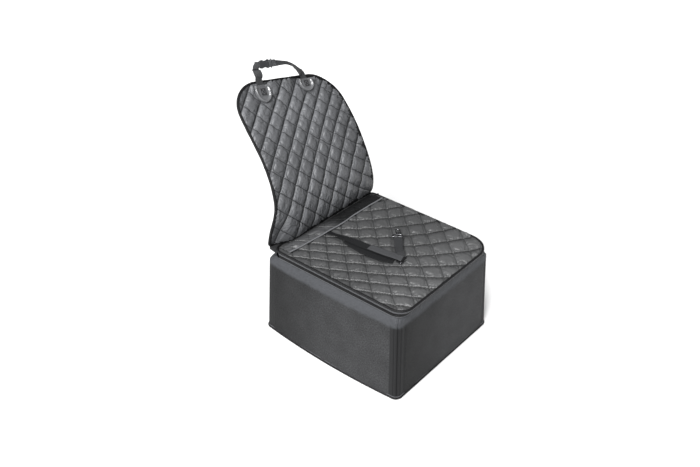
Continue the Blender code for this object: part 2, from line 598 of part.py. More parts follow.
# shank turned about the swivel's axis, then an open C of round bar
shank = []
profile = [(0.0169, 0.0052), (0.0200, 0.0052), (0.0212, 0.0034), (0.0232, 0.0034)]
seg = 12
for a, r in profile:
    shank += [hk(a, r * math.cos(2 * math.pi * i / seg), r * math.sin(2 * math.pi * i / seg)) for i in range(seg)]
faces = [tuple(range(seg - 1, -1, -1)), tuple((len(profile) - 1) * seg + i for i in range(seg))]
for k in range(len(profile) - 1):
    for i in range(seg):
        faces.append((k * seg + i, k * seg + (i + 1) % seg, (k + 1) * seg + (i + 1) % seg, (k + 1) * seg + i))
hook_body = solid("hook_body", shank, faces, CHROME, hook_axis)
CC, CR, CW = 0.0335, 0.0098, 0.0020
c_pts = [hk(CC + CR * math.cos(math.radians(a)), CR * math.sin(math.radians(a))) for a in range(172, 172 + 241, 15)]
cv, cf = [], []
sides = 8
for a in range(172, 172 + 241, 15):
    q = math.radians(a)
    for i in range(sides):
        w = 2 * math.pi * i / sides
        rr = CR + CW * math.cos(w)
        cv.append(hk(CC + rr * math.cos(q), rr * math.sin(q), CW * math.sin(w)))
rows = len(cv) // sides
cf = [tuple(range(sides - 1, -1, -1)), tuple((rows - 1) * sides + i for i in range(sides))]
for k in range(rows - 1):
    for i in range(sides):
        cf.append((k * sides + i, k * sides + (i + 1) % sides, (k + 1) * sides + (i + 1) % sides, (k + 1) * sides + i))
c_bar = solid("hook_curve", cv, cf, CHROME, hook_axis)
c_bar.hide_render = True
c_bar.display_type = "WIRE"
md = hook_body.modifiers.new("curve", "BOOLEAN")
md.operation = "UNION"
md.object = c_bar
# sprung gate closes the C from inside, pivoting by the shank
g0 = (CC + CR * math.cos(math.radians(146)), CR * math.sin(math.radians(146)))
g1 = (CC + (CR - 0.0034) * math.cos(math.radians(62)), (CR - 0.0034) * math.sin(math.radians(62)))
gate_axis = axis_empty("axis_hook_gate", hk(*g0), hook_axis)
gd = Vector((g1[0] - g0[0], g1[1] - g0[1]))
gl = gd.length
gd.normalize()
gn = Vector((-gd.y, gd.x))
gv = []
for t, w in ((-0.0010, 0.0012), (0.0, 0.0015), (gl - 0.0006, 0.0013), (gl + 0.0004, 0.0008)):
    for i in range(8):
        a = 2 * math.pi * i / 8 + math.pi / 8
        o = w * math.cos(a)
        gv.append(hk(g0[0] + gd.x * t + gn.x * o, g0[1] + gd.y * t + gn.y * o, w * math.sin(a)))
gf = [tuple(range(7, -1, -1)), tuple(range(24, 32))]
for k in range(3):
    for i in range(8):
        gf.append((8 * k + i, 8 * k + (i + 1) % 8, 8 * (k + 1) + (i + 1) % 8, 8 * (k + 1) + i))
solid("hook_gate", gv, gf, CHROME, gate_axis)

# ---------------------------------------------------------------- back protector
STEPS = 256


def back_angles(t):
    """Lean back, turn in its own plane and tilt across, in degrees, t up the panel."""
    return (-19.21 + 188.31 * t - 171.8 * t * t + 38.62 * t ** 3, 0.26 * t + 8.38 * t * t + 0.85 * t ** 3,
            0.29 * t - 6.47 * t * t)


def back_axes(t):
    """Unit vectors up the panel, across it and out of its front."""
    lean, turn, tilt = (math.radians(v) for v in back_angles(t))
    up = Vector((math.sin(turn), math.cos(turn) * math.sin(lean), math.cos(turn) * math.cos(lean)))
    flat = Vector((math.cos(turn), -math.sin(turn) * math.sin(lean), -math.sin(turn) * math.cos(lean)))
    face = flat.cross(up)
    across = flat * math.cos(tilt) + face * math.sin(tilt)
    return up, across, across.cross(up).normalized()


SPINE = [Vector((0.0, BACK_Y0, BACK_Z0))]
for i in range(STEPS):
    SPINE.append(SPINE[-1] + back_axes((i + 0.5) / STEPS)[0] * (BACK_L / STEPS))


def back_at(s, x, d=0.0):
    """A point s up the panel, x across it and d in front of its middle."""
    q = min(max(s / BACK_L, 0.0), 1.0) * STEPS
    i = min(int(q), STEPS - 1)
    up, across, face = back_axes(q / STEPS)
    base = SPINE[i].lerp(SPINE[i + 1], q - i) + up * (s - q / STEPS * BACK_L)
    p = base + across * x + face * d
    # the loose lower left corner hangs back behind the lid
    k = min(1.0, max(0.0, (-x - 0.165) / 0.085))
    m = min(1.0, max(0.0, (0.165 - s) / 0.125))
    p.y += 0.0260 * k * k * (3 - 2 * k) * m * m * (3 - 2 * m)
    return (p.x, p.y, p.z)


def back_half(side, s):
    """Half width of the piping's line at s on the left or the right."""
    t = min(max(s / BACK_L, 0.0), 1.0)
    if side == "left":
        h = 0.2604 + 0.082 * t - 0.9637 * t ** 2 + 1.9301 * t ** 3 - 1.4449 * t ** 4 + 0.3722 * t ** 5
        rx, ry = 0.112, 0.085
    else:
        h = 0.2366 + 0.0045 * t - 0.4961 * t ** 2 + 1.8528 * t ** 3 - 2.2825 * t ** 4 + 0.9205 * t ** 5
        rx, ry = 0.110, 0.110
    c = min(max((s - (BACK_L - ry)) / ry, 0.0), 1.0)
    h -= rx * (1 - math.sqrt(1 - c * c))
    c = min(max((0.020 - s) / 0.020, 0.0), 1.0)
    return h - 0.020 * (1 - math.sqrt(1 - c * c))


def back_outline():
    """Closed (s, x) line of the edge piping."""
    side = [0.020 * (1 - math.cos(math.radians(a))) for a in (0, 22, 45, 67, 90)]
    side += [0.020 + 0.382 * i / 14 for i in range(1, 15)]
    pts = []
    for name, sg in (("right", 1), ("left", -1)):
        ry = 0.085 if name == "left" else 0.110
        ss = [v for v in side if v < BACK_L - ry]
        ss += [BACK_L - ry + ry * math.sin(math.radians(a)) for a in range(0, 91, 10)]
        line = [(v, sg * back_half(name, v)) for v in ss]
        pts.append(line if sg > 0 else line[::-1])
    right, left = pts
    top = [(BACK_L, lerp(right[-1][1], left[0][1], i / 5)) for i in range(1, 5)]
    low = [(0.0, lerp(left[-1][1], right[0][1], i / 8)) for i in range(1, 8)]
    return right + top + left + low


OUTLINE = back_outline()


def inner_outline(e):
    n = len(OUTLINE)
    out = []
    for i, (s, x) in enumerate(OUTLINE):
        a, b = OUTLINE[i - 1], OUTLINE[(i + 1) % n]
        ds, dx = b[0] - a[0], b[1] - a[1]
        m = math.hypot(ds, dx)
        # counter-clockwise from the right: the inside is to the left of the way round
        out.append((s + e * dx / m, x - e * ds / m))
    return out


def width_at(line, s, sign):
    """Largest reach of the closed (s, x) line at s on one side."""
    best = 0.0
    for (s0, x0), (s1, x1) in zip(line, line[1:] + line[:1]):
        if (s0 - s) * (s1 - s) <= 0 and s0 != s1:
            x = lerp(x0, x1, (s - s0) / (s1 - s0))
            if x * sign > best:
                best = x * sign
    return best


COLS = 10
ROW_S = [0.0, 0.006, 0.016, 0.032, 0.056, 0.085, 0.12, 0.16, 0.205, 0.25, 0.295, 0.338, 0.375, 0.405, 0.432, 0.456,
         0.476, 0.491, 0.502, 0.509, 0.512]


def back_slab(name, d_front, d_back, edge, mat, parent, crown=0.0):
    line = inner_outline(edge)
    lo, hi = edge, BACK_L - edge
    front, rear = [], []
    for v in ROW_S:
        s = lo + (hi - lo) * v / 0.512
        sq = min(max(s, lo + 1e-5), hi - 1e-5)
        xl, xr = -width_at(line, sq, -1), width_at(line, sq, 1)
        fr, rr = [], []
        for i in range(COLS + 1):
            u = (1 - math.cos(math.pi * i / COLS)) / 2
            x = lerp(xl, xr, 0.55 * i / COLS + 0.45 * u)
            # thin towards the edges
            e = min(1.0, max(0.0, (x - xl) / 0.03)) * min(1.0, max(0.0, (xr - x) / 0.03))
            e *= min(1.0, max(0.0, (s - lo) / 0.03)) * min(1.0, max(0.0, (hi - s) / 0.03))
            fr.append(back_at(s, x, d_front + crown * math.sqrt(e)))
            rr.append(back_at(s, x, d_back))
        front.append(fr)
        rear.append(rr)
    return two_sided(name, front, rear, mat, parent)


back_slab("back_lining", -0.0026, -0.0036, 0.0040, LINING, back_axis)
back_slab("back_padding", 0.0004, -0.0022, 0.0042, FOAM, back_axis)
back_slab("back_cover", 0.0032, 0.0008, 0.0040, QUILT, back_axis, 0.0038)
tube("back_piping", [back_at(s, x) for s, x in OUTLINE], BACK_PIPING_R, PIPING, back_axis, True)

# moulded anchor patches on the front face
TONGUE = [(0.0, 0.0305), (0.18, 0.0322), (0.44, 0.0318), (0.70, 0.0270), (0.88, 0.0175), (0.97, 0.0070)]
for side, px, tip in (("left", PATCH_LEFT_X, 0.4435), ("right", PATCH_RIGHT_X, 0.4510)):
    drop = PATCH_TOP - tip
    out = [(PATCH_TOP - drop * v, -w) for v, w in TONGUE] + [(tip, 0.0)] + [(PATCH_TOP - drop * v, w) for v, w in reversed(TONGUE)]
    lo = [back_at(s, px + x, 0.0078) for s, x in out]
    hi = [back_at(PATCH_TOP - (PATCH_TOP - s) * 0.96, px + x * 0.95, 0.0120) for s, x in out]
    prism("anchor_patch_" + side, lo, hi, RUBBER, back_axis)

# ---------------------------------------------------------------- headrest strap
STRAP_L, STRAP_R = -0.1120, 0.0925
ROOT_L = Vector(back_at(0.5020, STRAP_L, 0.0088))
ROOT_R = Vector(back_at(0.5020, STRAP_R, 0.0088))
strap_left_axis = axis_empty("axis_strap_left", tuple(ROOT_L), back_axis)
strap_right_axis = axis_empty("axis_strap_right", tuple(ROOT_R), back_axis)
ACROSS = (ROOT_R - ROOT_L).normalized()

BD = Vector((0.830, -0.558, 0.038)).normalized()         # along the buckle, left to right
BW = Vector((0.180, 0.303, 0.935))
BW = (BW - BD * BW.dot(BD)).normalized()                 # across it, upwards
BN = BD.cross(BW).normalized()                           # out of its face
B0 = Vector((-0.0640, 0.4835, 0.8345)) + BD * 0.0030


def bk(a, b, c=0.0):
    p = B0 + BD * a + BW * b + BN * c
    return (p.x, p.y, p.z)


def block(name, a0, a1, b0, b1, c0, c1, mat, parent):
    v = [bk(a, b, c) for c in (c0, c1) for a, b in ((a0, b0), (a1, b0), (a1, b1), (a0, b1))]
    return solid(name, v, [(3, 2, 1, 0), (4, 5, 6, 7), (0, 1, 5, 4), (1, 2, 6, 5), (2, 3, 7, 6), (3, 0, 4, 7)], mat, parent, False)


def modify(target, tools, parent, operation):
    for nm, dims in tools:
        c = block(nm, *dims, PLASTIC, parent)
        c.hide_render = True
        c.display_type = "WIRE"
        md = target.modifiers.new(nm, "BOOLEAN")
        md.operation = operation
        md.solver = "EXACT"
        md.object = c


# left web: up from its patch, folded over to the right into the buckle's bar
FOLD_R, FOLD_W = 0.0108, 0.0200
top = B0 - BD * (0.0026 + FOLD_R) - BW * FOLD_R
climb = smooth_path([back_at(0.5010, STRAP_L, 0.0088), back_at(0.5060, STRAP_L, 0.0088), back_at(0.5160, STRAP_L - 0.0010, 0.0082),
                     (-0.0775, 0.4705, 0.8050),
                     (-0.0762, 0.4800, 0.8170), tuple(top + Vector((0.0, 0.0010, -0.0055))), tuple(top)], 2)
lp, lw, lt = list(climb), [], []
for i in range(len(climb)):
    k = i / (len(climb) - 1)
    side_dir = Vector((0.800, -0.600, -0.020))
    lw.append(tuple(ACROSS.lerp(side_dir, min(1.0, max(0.0, (k - 0.22) / 0.24))) if k < 0.8 else side_dir.lerp(BD, (k - 0.8) / 0.2)))
    lt.append(lerp(STRAP_W, FOLD_W, min(1.0, max(0.0, (k - 0.45) / 0.5))))
middle = top + BD * FOLD_R
for a in (18, 36, 54, 72, 90):
    q = math.radians(a)
    lp.append(middle - BD * (FOLD_R * math.cos(q)) + BW * (FOLD_R * math.sin(q)))
    lw.append(tuple(BD * math.cos(q) - BW * math.sin(q)))
    lt.append(FOLD_W)
for a in (0.0018, 0.0008):
    lp.append(B0 - BD * a)
    lw.append(tuple(-BW))
    lt.append(FOLD_W)
ribbon("strap_web_left", [tuple(p) for p in lp], lw, lt, STRAP_T, WEB, strap_left_axis)

half = [(0.0, 0.0115), (0.0050, 0.0130), (0.0280, 0.0138), (0.0300, 0.0126)]
female_out = [(a, -b) for a, b in half] + [(a, b) for a, b in reversed(half)]
female = prism("buckle_female", [bk(a, b, -0.0045) for a, b in female_out], [bk(a, b, 0.0045) for a, b in female_out],
               PLASTIC, strap_left_axis, False)
modify(female, (("mouth_cut", (0.0070, 0.0340, -0.0108, 0.0108, -0.0030, 0.0030)),
                ("window_cut", (0.0110, 0.0220, -0.0220, 0.0220, -0.0026, 0.0026)),
                ("web_slot_cut", (0.0020, 0.0045, -0.0106, 0.0106, -0.0080, 0.0080))), strap_left_axis, "DIFFERENCE")

male_axis = axis_empty("axis_buckle_male", bk(0.0315, 0.0), strap_right_axis)
male = block("buckle_male", 0.0306, 0.0365, -0.0126, 0.0126, -0.0038, 0.0038, PLASTIC, male_axis)
modify(male, (("prong_middle", (0.0120, 0.0320, -0.0026, 0.0026, -0.0022, 0.0022)),
              ("prong_low", (0.0104, 0.0320, -0.0098, -0.0062, -0.0021, 0.0021)),
              ("prong_high", (0.0104, 0.0320, 0.0062, 0.0098, -0.0021, 0.0021)),
              ("latch_low", (0.0118, 0.0212, -0.0104, -0.0085, -0.0020, 0.0020)),
              ("latch_high", (0.0118, 0.0212, 0.0085, 0.0104, -0.0020, 0.0020)),
              ("ladder_bar", (0.0360, 0.0392, -0.0148, 0.0148, -0.0033, 0.0033))), male_axis, "UNION")

# right web: out of the ladder bar on edge, turning flat on its way down to its patch
rp = [Vector(bk(0.0411, 0.0)), Vector(bk(0.0425, 0.0))]
rp += smooth_path([bk(0.0450, 0.0), bk(0.0520, 0.0), (-0.0058, 0.4545, 0.8325), (0.0199, 0.4520, 0.8261), (0.0455, 0.4520, 0.8150),
                   (0.0684, 0.4535, 0.7982), (0.0855, 0.4560, 0.7831), (0.1032, 0.4610, 0.7668), (0.1160, 0.4660, 0.7570),
                   back_at(0.5150, STRAP_R, 0.0088), back_at(0.5060, STRAP_R, 0.0088), back_at(0.5010, STRAP_R, 0.0088)], 2)
EDGE_ON = Vector((0.110, 0.950, 0.290))
# at each point of the path: how far it is turned towards edge-on, then towards the patch
TURN = ((0.0, 0.0), (0.35, 0.0), (0.75, 0.0), (1.0, 0.0), (0.84, 0.03), (0.80, 0.33), (0.80, 0.47), (0.80, 0.57), (0.80, 0.70), (0.80, 1.0), (0.80, 1.0), (0.80, 1.0))
wr = []
for i in range(len(rp)):
    k = max(0.0, (i - 2) / 2)
    j = min(int(k), 10)
    edge_on, home = (lerp(TURN[j][n], TURN[j + 1][n], k - j) for n in (0, 1))
    wr.append(tuple(BW.lerp(EDGE_ON, edge_on).lerp(ACROSS, home)))
ribbon("strap_web_right", [tuple(p) for p in rp], wr, STRAP_W, STRAP_T, WEB, strap_right_axis)
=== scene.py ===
# Looks of the soft dog car seat: quilted lid and back protector, fabric walls,
# piping, zip, webbing, buckle and snap hook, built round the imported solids.
import math

import bpy
import numpy as np
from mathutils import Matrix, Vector, noise


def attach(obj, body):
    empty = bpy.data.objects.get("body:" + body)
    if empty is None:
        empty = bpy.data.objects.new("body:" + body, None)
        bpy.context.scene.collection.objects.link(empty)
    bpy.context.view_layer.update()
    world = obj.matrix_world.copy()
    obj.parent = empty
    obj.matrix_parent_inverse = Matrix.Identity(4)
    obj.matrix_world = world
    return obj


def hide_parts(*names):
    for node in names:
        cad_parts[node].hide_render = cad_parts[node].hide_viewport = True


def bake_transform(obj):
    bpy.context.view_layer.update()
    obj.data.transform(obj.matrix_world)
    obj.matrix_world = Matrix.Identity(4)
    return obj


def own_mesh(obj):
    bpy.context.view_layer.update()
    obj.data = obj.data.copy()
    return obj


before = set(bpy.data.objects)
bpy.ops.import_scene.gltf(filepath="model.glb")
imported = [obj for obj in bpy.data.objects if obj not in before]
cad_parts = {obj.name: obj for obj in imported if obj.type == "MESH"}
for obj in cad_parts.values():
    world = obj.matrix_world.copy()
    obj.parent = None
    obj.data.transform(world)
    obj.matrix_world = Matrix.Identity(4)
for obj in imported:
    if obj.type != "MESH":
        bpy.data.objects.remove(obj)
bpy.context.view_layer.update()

XS, YS = 0.0034, -0.1111
rng = np.random.default_rng(7)


# ================================================================ materials
def new_material(name, colour, rough, metal=0.0, sheen=0.0, specular=0.5, coat=0.0, coat_rough=0.1, tint=None):
    m = bpy.data.materials.new(name)
    m.use_nodes = True
    b = m.node_tree.nodes["Principled BSDF"]
    b.inputs["Base Color"].default_value = (*colour, 1.0)
    b.inputs["Roughness"].default_value = rough
    b.inputs["Metallic"].default_value = metal
    b.inputs["Specular IOR Level"].default_value = specular
    if sheen:
        b.inputs["Sheen Weight"].default_value = sheen
        b.inputs["Sheen Roughness"].default_value = 0.45
        b.inputs["Sheen Tint"].default_value = (*(tint or (0.9, 0.95, 1.0)), 1.0)
    if coat:
        b.inputs["Coat Weight"].default_value = coat
        b.inputs["Coat Roughness"].default_value = coat_rough
    m.diffuse_color = (*colour, 1.0)
    return m


class Net:
    """Short helpers for one material's node tree."""

    def __init__(self, m):
        self.t = m.node_tree
        self.b = self.t.nodes["Principled BSDF"]

    def node(self, kind, **kw):
        n = self.t.nodes.new(kind)
        for k, v in kw.items():
            setattr(n, k, v)
        return n

    def link(self, a, b):
        self.t.links.new(a, b)

    def math(self, op, a, b=None, c=None, clamp=False):
        n = self.node("ShaderNodeMath", operation=op, use_clamp=clamp)
        for k, v in enumerate((a, b, c)):
            if v is None:
                continue
            if isinstance(v, (int, float)):
                n.inputs[k].default_value = v
            else:
                self.link(v, n.inputs[k])
        return n.outputs[0]

    def uv(self, name):
        return self.node("ShaderNodeUVMap", uv_map=name).outputs[0]

    def xy(self, vec):
        s = self.node("ShaderNodeSeparateXYZ")
        self.link(vec, s.inputs[0])
        return s.outputs[0], s.outputs[1]

    def noise(self, vec, scale, detail=2.0, rough=0.5, stretch=None):
        if stretch:
            mp = self.node("ShaderNodeMapping")
            mp.inputs["Scale"].default_value = stretch
            self.link(vec, mp.inputs[0])
            vec = mp.outputs[0]
        n = self.node("ShaderNodeTexNoise")
        n.inputs["Scale"].default_value = scale
        n.inputs["Detail"].default_value = detail
        n.inputs["Roughness"].default_value = rough
        self.link(vec, n.inputs["Vector"])
        return n.outputs["Fac"]

    def line(self, value, at, half, soft):
        """1 on a line at value = at, half wide, fading over soft."""
        d = self.math("ABSOLUTE", self.math("SUBTRACT", value, at))
        mr = self.node("ShaderNodeMapRange", interpolation_type="SMOOTHSTEP")
        mr.inputs["From Min"].default_value = half
        mr.inputs["From Max"].default_value = half + soft
        mr.inputs["To Min"].default_value = 1.0
        mr.inputs["To Max"].default_value = 0.0
        self.link(d, mr.inputs["Value"])
        return mr.outputs[0]

    def seam(self, value, half, soft):
        """1 on every whole number of value."""
        f = self.math("ABSOLUTE", self.math("SUBTRACT", self.math("FRACT", self.math("ADD", value, 0.5)), 0.5))
        mr = self.node("ShaderNodeMapRange", interpolation_type="SMOOTHSTEP")
        mr.inputs["From Min"].default_value = half
        mr.inputs["From Max"].default_value = half + soft
        mr.inputs["To Min"].default_value = 1.0
        mr.inputs["To Max"].default_value = 0.0
        self.link(f, mr.inputs["Value"])
        return mr.outputs[0]

    def mix(self, fac, a, b):
        n = self.node("ShaderNodeMix", data_type="RGBA")
        if isinstance(fac, (int, float)):
            n.inputs["Factor"].default_value = fac
        else:
            self.link(fac, n.inputs["Factor"])
        for k, v in ((6, a), (7, b)):
            if isinstance(v, tuple):
                n.inputs[k].default_value = (*v, 1.0)
            else:
                self.link(v, n.inputs[k])
        return n.outputs[2]

    def bump(self, height, strength, distance, normal=None):
        n = self.node("ShaderNodeBump")
        n.inputs["Strength"].default_value = strength
        n.inputs["Distance"].default_value = distance
        self.link(height, n.inputs["Height"])
        if normal is not None:
            self.link(normal, n.inputs["Normal"])
        return n.outputs[0]


def weave(net, pitch, vec="m"):
    """A plain over-and-under weave as a height between 0 and 1."""
    x, y = net.xy(net.uv(vec))
    sx = net.math("SINE", net.math("MULTIPLY", x, 2 * math.pi / pitch))
    sy = net.math("SINE", net.math("MULTIPLY", y, 2 * math.pi / pitch))
    return net.math("MULTIPLY_ADD", net.math("MULTIPLY", sx, sy), 0.5, 0.5)


def cloth(name, colour, rough=0.62, pitch=0.0012, weave_bump=0.25, sheen=0.12, specular=0.45, spread=0.12, quilt=None,
          crease=0.0, grain=0.0, strong=(1.0, 1.0), mottle=0.10, painted_hollow_shade=None):
    """Woven cloth. quilt names a UV map whose whole numbers are the sewn lines."""
    m = new_material(name, colour, rough, sheen=sheen, specular=specular)
    n = Net(m)
    uv = n.uv("m")
    w = weave(n, pitch)
    big = n.noise(uv, 14.0, 3.0, 0.55)
    fine = n.noise(uv, 900.0, 2.0, 0.6)
    lo = tuple(c * (1 - spread) for c in colour)
    hi = tuple(c * (1 + spread) for c in colour)
    col = n.mix(big, lo, hi)
    thread = n.mix(n.math("MULTIPLY_ADD", fine, 0.5 + grain, n.math("MULTIPLY", w, 0.35)), (0.72, 0.72, 0.72), (1.22, 1.22, 1.22))
    mul = n.node("ShaderNodeMix", data_type="RGBA", blend_type="MULTIPLY")
    mul.inputs["Factor"].default_value = 1.0
    n.link(col, mul.inputs[6])
    n.link(thread, mul.inputs[7])
    col = mul.outputs[2]
    # uneven dye and rubbed threads, a few millimetres across
    mid = n.noise(uv, 210.0, 3.0, 0.7)
    rub = n.node("ShaderNodeMapRange")
    rub.inputs["From Min"].default_value = 0.30
    rub.inputs["From Max"].default_value = 0.70
    n.link(mid, rub.inputs["Value"])
    tone = n.mix(rub.outputs[0], (1 - mottle,) * 3, (1 + mottle,) * 3)
    mul = n.node("ShaderNodeMix", data_type="RGBA", blend_type="MULTIPLY")
    mul.inputs["Factor"].default_value = 1.0
    n.link(col, mul.inputs[6])
    n.link(tone, mul.inputs[7])
    col = mul.outputs[2]
    normal = n.bump(w, weave_bump, 0.0004)
    if crease:
        c1 = n.noise(uv, 42.0, 4.0, 0.62, (1.0, 1.0, 1.0))
        normal = n.bump(c1, crease, 0.004, normal)
    if quilt:
        i, j = n.xy(n.uv(quilt))
        a, b = n.seam(i, 0.012, 0.036), n.seam(j, 0.009, 0.024)
        a = n.math("MULTIPLY", a, strong[0])
        b = n.math("MULTIPLY", b, strong[1])
        groove = n.math("MAXIMUM", a, b)
        normal = n.bump(n.math("SUBTRACT", 1.0, groove), 0.9, 0.0016, normal)
        if painted_hollow_shade:
            # painted shade: the cloth lies in a hollow on one side of each deep seam, and there its colour is darkened
            # and its specular level lowered; the rest of each cell is painted a little lighter
            side, deep = painted_hollow_shade
            fr = n.math("FRACT", i)
            fr = fr if side > 0 else n.math("SUBTRACT", 1.0, fr)
            painted_dulling = n.node("ShaderNodeMapRange", interpolation_type="SMOOTHSTEP")
            painted_dulling.inputs["From Min"].default_value = 0.50
            painted_dulling.inputs["From Max"].default_value = 0.98
            n.link(fr, painted_dulling.inputs["Value"])
            spec = n.node("ShaderNodeMapRange")
            spec.inputs["To Min"].default_value = specular
            spec.inputs["To Max"].default_value = specular * (1 - deep)
            n.link(painted_dulling.outputs[0], spec.inputs["Value"])
            n.link(spec.outputs[0], n.b.inputs["Specular IOR Level"])
            mul = n.node("ShaderNodeMix", data_type="RGBA", blend_type="MULTIPLY")
            mul.inputs["Factor"].default_value = 1.0
            n.link(col, mul.inputs[6])
            n.link(n.mix(painted_dulling.outputs[0], (1.06, 1.06, 1.06), (1 - deep,) * 3), mul.inputs[7])
            col = mul.outputs[2]
        # thread: short stitches along each sewn line
        ta = n.math("MULTIPLY", n.seam(i, 0.005, 0.003), n.math("GREATER_THAN", n.math("FRACT", n.math("MULTIPLY", j, 17.0)), 0.3))
        tb = n.math("MULTIPLY", n.seam(j, 0.005, 0.003), n.math("GREATER_THAN", n.math("FRACT", n.math("MULTIPLY", i, 17.0)), 0.3))
        th = n.math("MAXIMUM", ta, tb)
        col = n.mix(n.math("MULTIPLY", groove, 0.92), col, tuple(c * 0.12 for c in colour))
        col = n.mix(n.math("MULTIPLY", th, 0.5), col, tuple(c * 0.75 for c in colour))
    n.link(col, n.b.inputs["Base Color"])
    n.link(normal, n.b.inputs["Normal"])
    return m


def painted_light_shade_ramp(m, axis, start, stop, low, high, vec="m", painted_dulling=None):
    """Painted light and shade: the tone of a cloth drifts from low to high along one direction, and its specular level
    may drift with it.
    """
    n = Net(m)
    old = n.b.inputs["Base Color"].links[0].from_socket
    v = n.xy(n.uv(vec))[axis]
    v = n.math("MULTIPLY_ADD", n.noise(n.uv(vec), 16.0, 2.0, 0.5), 0.04, v)
    mr = n.node("ShaderNodeMapRange", interpolation_type="SMOOTHSTEP")
    mr.inputs["From Min"].default_value = start
    mr.inputs["From Max"].default_value = stop
    n.link(v, mr.inputs["Value"])
    mul = n.node("ShaderNodeMix", data_type="RGBA", blend_type="MULTIPLY")
    mul.inputs["Factor"].default_value = 1.0
    n.link(old, mul.inputs[6])
    n.link(n.mix(mr.outputs[0], (low,) * 3, (high,) * 3), mul.inputs[7])
    n.link(mul.outputs[2], n.b.inputs["Base Color"])
    if painted_dulling:
        sp = n.node("ShaderNodeMapRange")
        sp.inputs["To Min"].default_value, sp.inputs["To Max"].default_value = painted_dulling
        n.link(mr.outputs[0], sp.inputs["Value"])
        n.link(sp.outputs[0], n.b.inputs["Specular IOR Level"])


def webbing(name, colour, rough=0.7, pitch=0.0016, sheen=0.0, edge=True):
    """Flat woven webbing: herringbone ribs along its length. UV m is (along, across) in metres."""
    m = new_material(name, colour, rough, sheen=sheen, specular=0.20)
    n = Net(m)
    x, y = n.xy(n.uv("m"))
    fold = n.math("PINGPONG", y, pitch * 1.6)
    rib = n.math("SINE", n.math("MULTIPLY", n.math("ADD", x, n.math("MULTIPLY", fold, 1.3)), 2 * math.pi / pitch))
    rib = n.math("MULTIPLY_ADD", rib, 0.5, 0.5)
    col_rib = n.math("SINE", n.math("MULTIPLY", y, 2 * math.pi / (pitch * 3.2)))
    h = n.math("MULTIPLY_ADD", col_rib, 0.25, rib)
    fine = n.noise(n.uv("m"), 1200.0, 2.0)
    col = n.mix(n.math("MULTIPLY_ADD", rib, 0.6, n.math("MULTIPLY", fine, 0.4)), tuple(c * 0.66 for c in colour), tuple(c * 1.30 for c in colour))
    n.link(col, n.b.inputs["Base Color"])
    n.link(n.bump(h, 0.55, 0.0005), n.b.inputs["Normal"])
    return m


def moulded(name, colour, rough, coat=0.0, fine=900.0, strength=0.12, metal=0.0, specular=0.5):
    m = new_material(name, colour, rough, metal=metal, coat=coat, specular=specular)
    n = Net(m)
    tc = n.node("ShaderNodeTexCoord").outputs["Object"]
    g = n.noise(tc, fine, 3.0, 0.6)
    big = n.noise(tc, 60.0, 3.0, 0.6)
    col = n.mix(big, tuple(c * 0.86 for c in colour), tuple(c * 1.14 for c in colour))
    n.link(col, n.b.inputs["Base Color"])
    mr = n.node("ShaderNodeMapRange")
    mr.inputs["To Min"].default_value = max(0.04, rough - 0.07)
    mr.inputs["To Max"].default_value = rough + 0.09
    n.link(big, mr.inputs["Value"])
    n.link(mr.outputs[0], n.b.inputs["Roughness"])
    n.link(n.bump(g, strength, 0.0004), n.b.inputs["Normal"])
    return m


def stitched(m, lines, colour, dash=0.0032, vec="e"):
    """Adds dashed stitch lines and their grooves at the given first coordinates of the UV map."""
    n = Net(m)
    old = n.b.inputs["Base Color"].links[0].from_socket
    nor = n.b.inputs["Normal"].links[0].from_socket
    e, z = n.xy(n.uv(vec))
    total = None
    groove = None
    for at in lines:
        g = n.line(e, at, 0.0003, 0.0014)
        t = n.math("MULTIPLY", n.line(e, at, 0.0004, 0.0003), n.math("GREATER_THAN", n.math("FRACT", n.math("DIVIDE", z, dash)), 0.28))
        total = t if total is None else n.math("MAXIMUM", total, t)
        groove = g if groove is None else n.math("MAXIMUM", groove, g)
    col = n.mix(n.math("MULTIPLY", groove, 0.45), old, tuple(c * 0.35 for c in colour))
    col = n.mix(n.math("MULTIPLY", total, 0.8), col, colour)
    n.link(col, n.b.inputs["Base Color"])
    n.link(n.bump(n.math("SUBTRACT", 1.0, groove), 0.8, 0.0010, nor), n.b.inputs["Normal"])
    return m


def corded(name, colour, rough=0.5, pitch=0.0034, slope=1.0, specular=0.18):
    """Tape drawn round a cord: ribs run round it at a slant."""
    m = new_material(name, colour, rough, specular=specular)
    n = Net(m)
    x, y = n.xy(n.uv("m"))
    rib = n.math("SINE", n.math("MULTIPLY", n.math("ADD", x, n.math("MULTIPLY", y, slope)), 2 * math.pi / pitch))
    rib = n.math("MULTIPLY_ADD", rib, 0.5, 0.5)
    fine = n.noise(n.uv("m"), 1100.0, 2.0)
    col = n.mix(n.math("MULTIPLY_ADD", rib, 0.7, n.math("MULTIPLY", fine, 0.3)), tuple(c * 0.55 for c in colour), tuple(c * 1.55 for c in colour))
    n.link(col, n.b.inputs["Base Color"])
    n.link(n.bump(rib, 0.7, 0.0008), n.b.inputs["Normal"])
    return m


# painted shade: the side of each deep seam on which the back protector and the seat are painted darker and less glossy
SHADE_SIDE_BACK, SHADE_SIDE_SEAT = 1, -1
